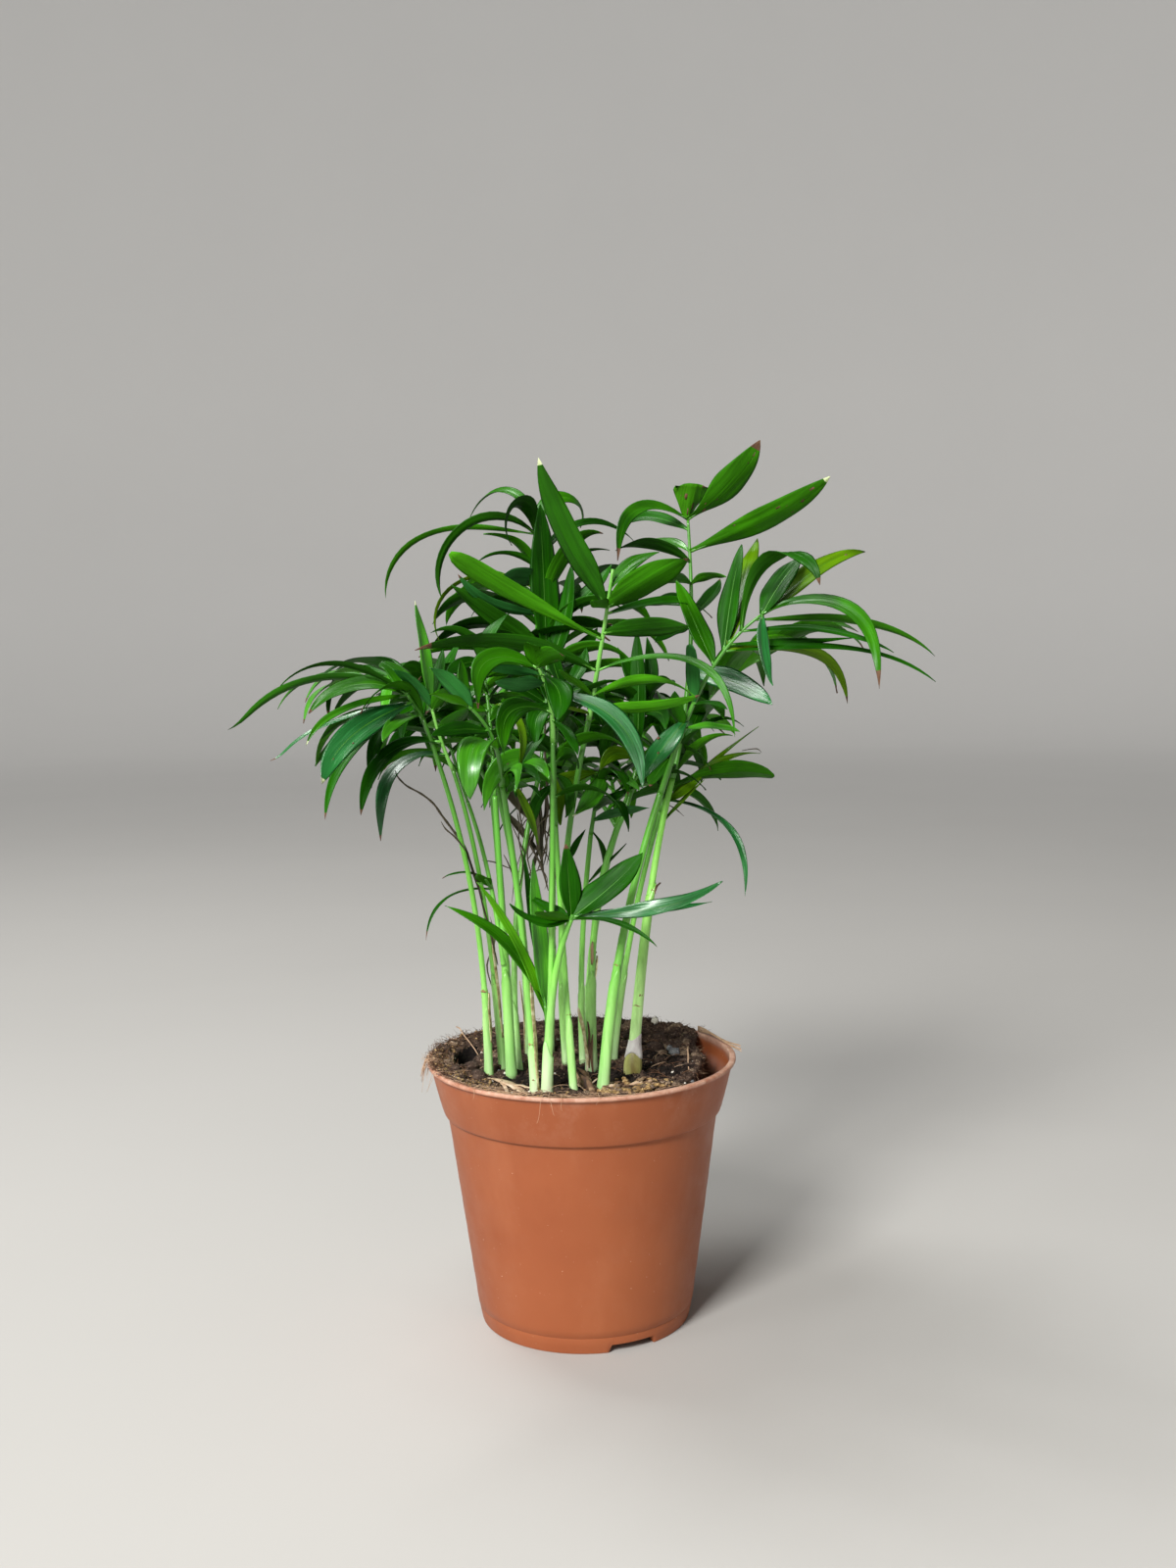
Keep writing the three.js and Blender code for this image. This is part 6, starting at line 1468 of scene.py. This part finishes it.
def make_strands():
    rng = random.Random(77)
    pc = Piece("dead_strands")
    for name, r, pts in STRANDS:
        pts = np.array(pts)
        if name.startswith("tangle"):
            # they wave in depth too, each in its own way, and splay where they hang free
            own = int(name.split("_")[1])
            free = np.clip((200.0 - pts[:, 2]) / 30.0, 0.0, 1.0)
            pts[:, 1] += 3.0 * np.sin(1.7 * np.arange(len(pts)) + 2.1 * own) + 6.5 * math.sin(2.4 * own) * free
        # a smooth curve through the points
        n = len(pts)
        u = np.linspace(0, n - 1, (n - 1) * 4 + 1)
        out = []
        for x in u:
            i = min(int(x), n - 2)
            t = x - i
            p0, p1, p2, p3 = pts[max(i - 1, 0)], pts[i], pts[i + 1], pts[min(i + 2, n - 1)]
            out.append(0.5 * ((2 * p1) + (p2 - p0) * t + (2 * p0 - 5 * p1 + 4 * p2 - p3) * t * t + (3 * p1 - p0 - 3 * p2 + p3) * t ** 3))
        out = np.array(out)
        k = len(out)
        rr = [r * (1 - 0.5 * i / (k - 1)) * (1 + 0.15 * math.sin(i * 1.9)) * min(1.0, 0.3 + 0.25 * min(i, k - 1 - i)) for i in range(k)]
        v, f = free_tube(out, rr, 6)
        pc.add(v, f)
    pc.build([M_DEAD], "leaf")


make_stems()
make_strands()


# --------------------------------------------------------------- fronds
def sequence(seed):
    a = [seed & 0xFFFFFFFF]

    def f():
        a[0] = (a[0] * 1664525 + 1013904223) & 0xFFFFFFFF
        return a[0] / 4294967296
    return f


def ruled_leaflets(az, el, droop, k, sway, pairs, leaf, seed):
    """Opposite pairs, wide at the rachis' foot and closing towards its end."""
    r = sequence(seed)
    out = []
    for i in range(pairs):
        for side in (1, -1):
            t = min(1.0, 0.22 + 0.78 * (i + (0.25 if side > 0 else 0)) / (pairs - 0.75))
            a, e = az + sway * t, el - droop * t ** k
            T = np.array([math.cos(e) * math.cos(a), math.cos(e) * math.sin(a), math.sin(e)])
            N = np.array([-math.sin(e) * math.cos(a), -math.sin(e) * math.sin(a), math.cos(e)])
            B = np.array([-math.sin(a), math.cos(a), 0])
            f = rad(72 - 44 * t + (r() - 0.5) * 16)
            d = T * math.cos(f) + B * side * math.sin(f) + N * (0.30 + 0.2 * (r() - 0.5))
            d /= np.linalg.norm(d)
            ll = leaf * (0.62 + 0.38 * math.sin(math.pi * min(1, 0.25 + 0.62 * t))) * (0.85 + 0.3 * r())
            dl = 55 + 70 * r()
            sl = (r() - 0.5) * 40
            ro = side * (12 + 20 * r())
            tone = "dmbd"[int(r() * 4)]
            out.append((t, math.degrees(math.atan2(d[1], d[0])), math.degrees(math.asin(d[2])), ll, dl, 1.6, sl, 0.13 * ll + 2.5, ro, tone))
    return out


# inner fronds that get extra leaflets by rule: name, how many, length, seed
FILL = [("frond_left_inner", 6, 34, 3), ("frond_left_middle", 6, 34, 4), ("frond_top_left", 8, 40, 5), ("frond_middle_right", 6, 34, 6),
        ("frond_middle_low", 6, 32, 7), ("frond_middle_inner", 6, 34, 8), ("frond_front_left_small", 3, 28, 10)]


# odd narrow leaflets in the clump, and dead ones caught between the stems
# (tone x): foot, azimuth, elevation, length, droop, k, width, roll, tone
ODD = [
    ((32.1, -9.0, 194.5), 16, 44, 23.8, 6, 1.6, 2.0, 30, "y"),
    ((33.9, -8.6, 202.0), 24, 27, 18.9, -6, 1.6, 3.8, 40, "y"),
    ((2.7, 5.0, 169.3), 14, 40, 22.6, -8, 1.6, 3.2, -30, "d"),
    ((-4.6, -16.5, 180.4), 26, 59, 14.9, 4, 1.6, 2.8, 50, "d"),
    ((-33.3, 25.1, 210.5), -18, -45, 25.8, 10, 1.6, 5.2, 60, "x"),
    ((-29.8, 22.6, 196.9), -17, -50, 22.8, -6, 1.6, 3.4, 40, "x"),
    ((-16.6, 16.5, 207.8), -49, -84, 34.4, -4, 1.6, 4.4, 70, "x"),
    ((-10.5, 38.0, 203.8), -97, -72, 30.4, 6, 1.6, 3.4, -50, "x"),
    ((-17.5, 16.0, 204.0), -66, -74, 25.1, 8, 1.6, 2.6, 20, "x"),
    ((-10.4, 38.0, 200.0), -146, -62, 22.1, 10, 1.6, 2.6, 10, "x"),
]


def make_fronds():
    rng = random.Random(2024)
    names = (("d", "dark"), ("m", "mid"), ("b", "bright"), ("y", "yellow_green"), ("t", "blue_green"), ("l", "lime"))
    tones = {t: Piece("leaflets_" + n) for t, n in names}
    ribs, rach, marks = Piece("leaflet_ribs"), Piece("rachises"), Piece("leaflet_spots")
    nodes = []
    jobs = [(r[:9], r[9]) for r in FRONDS]
    for name, stem, at, az, el, ln, dr, k, sw, pairs, leaf, seed in RULED:
        jobs.append(((name, stem, at, az, el, ln, dr, k, sw), [r + ("",) for r in ruled_leaflets(rad(az), rad(el), rad(dr), k, rad(sw), pairs, leaf, seed)]))
    for (name, stem, at, az, el, ln, dr, k, sw), leaves in jobs:
        nodes.append(name)
        for fname, count, length, seed in FILL:
            if fname == name:
                extra = ruled_leaflets(rad(az), rad(el), rad(dr), k, rad(sw), (count + 1) // 2 + 1, length, seed)
                leaves = list(leaves) + [r[:9] + ("d" if i % 3 else "m", "") for i, r in enumerate(extra[:count])]
        host = STEM_LIMBS[stem]
        p0 = host.at(round(at * 24) / 24)[0]
        limb = Limb(p0, rad(az), rad(el), ln, rad(dr), k, rad(sw))
        hd = stem_row(stem)
        d_host = hd[10] + (hd[11] - hd[10]) * at ** 0.8
        m = max(8, int(ln / 2.2))
        s = np.linspace(0, 1, m)
        T, N, B = limb.dirs(s)
        r0 = min(d_host, 2.9) / 2 * (1.0 if at > 0.97 else 0.85)
        if name in ("frond_top_left", "frond_left_inner", "frond_left_middle"):
            r0 *= 0.72
        rr = r0 + (0.58 - r0) * s ** 0.70
        v, f = tube(limb.at(s), T, N, B, rr, 10, 0.9)
        look = 0 if name in ("frond_middle", "frond_front", "frond_left_lower") else 1
        rach.add(v, f, look)
        for row in leaves:
            t, laz, lel, ll, ld, lk, ls, w, roll, tone, code = row
            base = limb.at(round(t * 24) / 24)[0]
            lf = Limb(base, rad(laz), rad(lel), ll, rad(ld), lk, rad(ls))
            tw = rad(rng.uniform(-16, 16))
            v, f, mats, uv, (P, TT, NN, BB, sv, hh, fo) = leaflet(
                lf, w, rad(roll), rng, 21 if ll > 30 else 15, rng.uniform(0.18, 0.42), tw, rng.uniform(0.0, 0.14), code)
            tones[tone].add(v, f, mats, uv)
            # midrib, a fine ridge that shows on both faces, thicker at the foot
            rv = np.where(sv < 0.1, 0.60 - 2.9 * sv, 0.31) * (1 - 0.78 * sv) * min(1.0, 0.30 + w / 12)
            keep = slice(0, len(sv) - 1)
            v, f = tube((P - NN * 0.20)[keep], TT[keep], NN[keep], BB[keep], rv[keep], 6, 0.8)
            ribs.add(v, f)
            # a little swollen joint where the blade leaves the rachis
            q = lf.at(np.linspace(-0.0, 0.055, 4))
            tq, nq, bq = lf.dirs(np.linspace(0, 0.055, 4))
            v, f = tube(q, tq, nq, bq, [0.45, 0.68, 0.58, 0.30] if w > 6 else [0.35, 0.5, 0.4, 0.22], 7)
            rach.add(v, f, look)
            if "s" in code or (w > 8 and rng.random() < 0.16):
                for _ in range(7 if "s" in code else 2):
                    j = rng.randrange(3, len(sv) - 3)
                    x = rng.uniform(-0.8, 0.8)
                    lift = fo[j] * abs(x) * hh[j]
                    v, f = spot(P[j] + BB[j] * (x * hh[j]) + NN[j] * lift, TT[j], BB[j], NN[j], rng.uniform(0.35, 0.95) if "s" in code else rng.uniform(0.25, 0.62), rng)
                    marks.add(v, f)
    dead = Piece("dead_blades")
    for base, az, el, ln, dr, k, w, roll, tone in ODD:
        lf = Limb(np.array(base, float), rad(az), rad(el), ln, rad(dr), k, rad(rng.uniform(-14, 14)))
        v, f, mats, uv, (P, TT, NN, BB, sv, hh, fo) = leaflet(lf, w, rad(roll), rng, 15, 0.5, rad(rng.uniform(-30, 30)), 0.05, "")
        if tone == "x":
            dead.add(v, f)
        else:
            tones[tone].add(v, f, mats, uv)
            v, f = tube((P - NN * 0.20)[:-1], TT[:-1], NN[:-1], BB[:-1], (0.32 * (1 - 0.8 * sv))[:-1], 6, 0.8)
            ribs.add(v, f)
    dead.build([M_DEADB], "leaf")
    for t, pc in tones.items():
        pc.build(LEAF_MATS[t] + [M_TIP, M_PALE], "leaf", nodes if t == "d" else ())
    ribs.build([M_RIB], "leaf")
    rach.build([M_RACHIS, M_RACHIS2], "leaf")
    marks.build([M_TIP], "leaf")


make_fronds()

# ------------------------------------------------------- floor and light
fl_m = Mat("floor_pale", srgb(200, 198, 194), 0.95)
fl_m.color(fl_m.mix(fl_m.noise(3.0, 3.0, 0.5), srgb(176, 174, 170), srgb(182, 180, 176)))
fl_m.bump(fl_m.noise(500.0, 2.0), 0.05, 0.0003)
# the far part of the sweep glows a little, as a lit backdrop does
fl_x = fl_m.node("ShaderNodeSeparateXYZ")
fl_m.link(fl_m.coord, fl_x.inputs[0])
fl_d = fl_m.math("SQRT", fl_m.math("ADD", fl_m.math("MULTIPLY", fl_x.outputs[0], fl_x.outputs[0]), fl_m.math("MULTIPLY", fl_x.outputs[1], fl_x.outputs[1])))
fl_m.b.inputs["Emission Color"].default_value = (0.93, 0.92, 0.90, 1.0)
fl_m.link(fl_m.ramp(fl_m.math("DIVIDE", fl_d, 4.4), [(0.16, (0.0, 0.0, 0.0, 1.0)), (0.50, (0.13, 0.13, 0.13, 1.0)), (0.95, (0.27, 0.27, 0.27, 1.0))]), fl_m.b.inputs["Emission Strength"])
# a round sweep, so that every view has the same plain ground
prof = [(0.0, 0.0), (0.2, 0.0), (0.6, 0.0), (1.4, 0.0), (2.4, 0.0), (3.4, 0.0)] + [(3.4 + 1.0 * math.sin(rad(a)), 1.0 - 1.0 * math.cos(rad(a))) for a in range(9, 91, 9)] + [(4.4, 3.0)]
fl_v, fl_f = [(0, 0, 0)], []
nseg = 96
for r, z in prof[1:]:
    fl_v += [(r * math.cos(2 * math.pi * i / nseg), r * math.sin(2 * math.pi * i / nseg), z) for i in range(nseg)]
fl_f += [(0, 1 + i, 1 + (i + 1) % nseg) for i in range(nseg)]
for j in range(len(prof) - 2):
    fl_f += [(1 + j * nseg + i, 1 + (j + 1) * nseg + i, 1 + (j + 1) * nseg + (i + 1) % nseg, 1 + j * nseg + (i + 1) % nseg) for i in range(nseg)]
me = bpy.data.meshes.new("floor")
me.from_pydata(fl_v, [], fl_f)
me.materials.append(fl_m.m)
me.polygons.foreach_set("use_smooth", [True] * len(fl_f))
me.update()
floor = bpy.data.objects.new("floor", me)
bpy.context.scene.collection.objects.link(floor)


def area(name, loc, target, size, power, color=(1, 1, 1)):
    d = bpy.data.lights.new(name, "AREA")
    d.shape = "RECTANGLE"
    d.size, d.size_y = size
    d.energy, d.color = power, color
    o = bpy.data.objects.new(name, d)
    bpy.context.scene.collection.objects.link(o)
    o.location = loc
    o.rotation_mode = "QUATERNION"
    o.rotation_quaternion = (Vector(target) - Vector(loc)).to_track_quat("-Z", "Y")
    return o


area("key", (-0.76, -1.51, 1.34), (0, 0, 0.17), (0.60, 0.60), 62.0, (1.0, 0.99, 0.97))
area("window", (-1.05, -0.75, 1.60), (0, 0, 0.2), (0.40, 0.70), 3.0, (0.92, 0.97, 1.0))
area("top", (-0.6, 0.45, 1.9), (0, 0, 0.2), (0.55, 0.55), 22.0)
world = bpy.data.worlds.new("studio")
bpy.context.scene.world = world
world.use_nodes = True
world.node_tree.nodes["Background"].inputs["Color"].default_value = (0.95, 0.97, 1.0, 1)
world.node_tree.nodes["Background"].inputs["Strength"].default_value = 0.052
bpy.context.scene.view_settings.view_transform = "Standard"
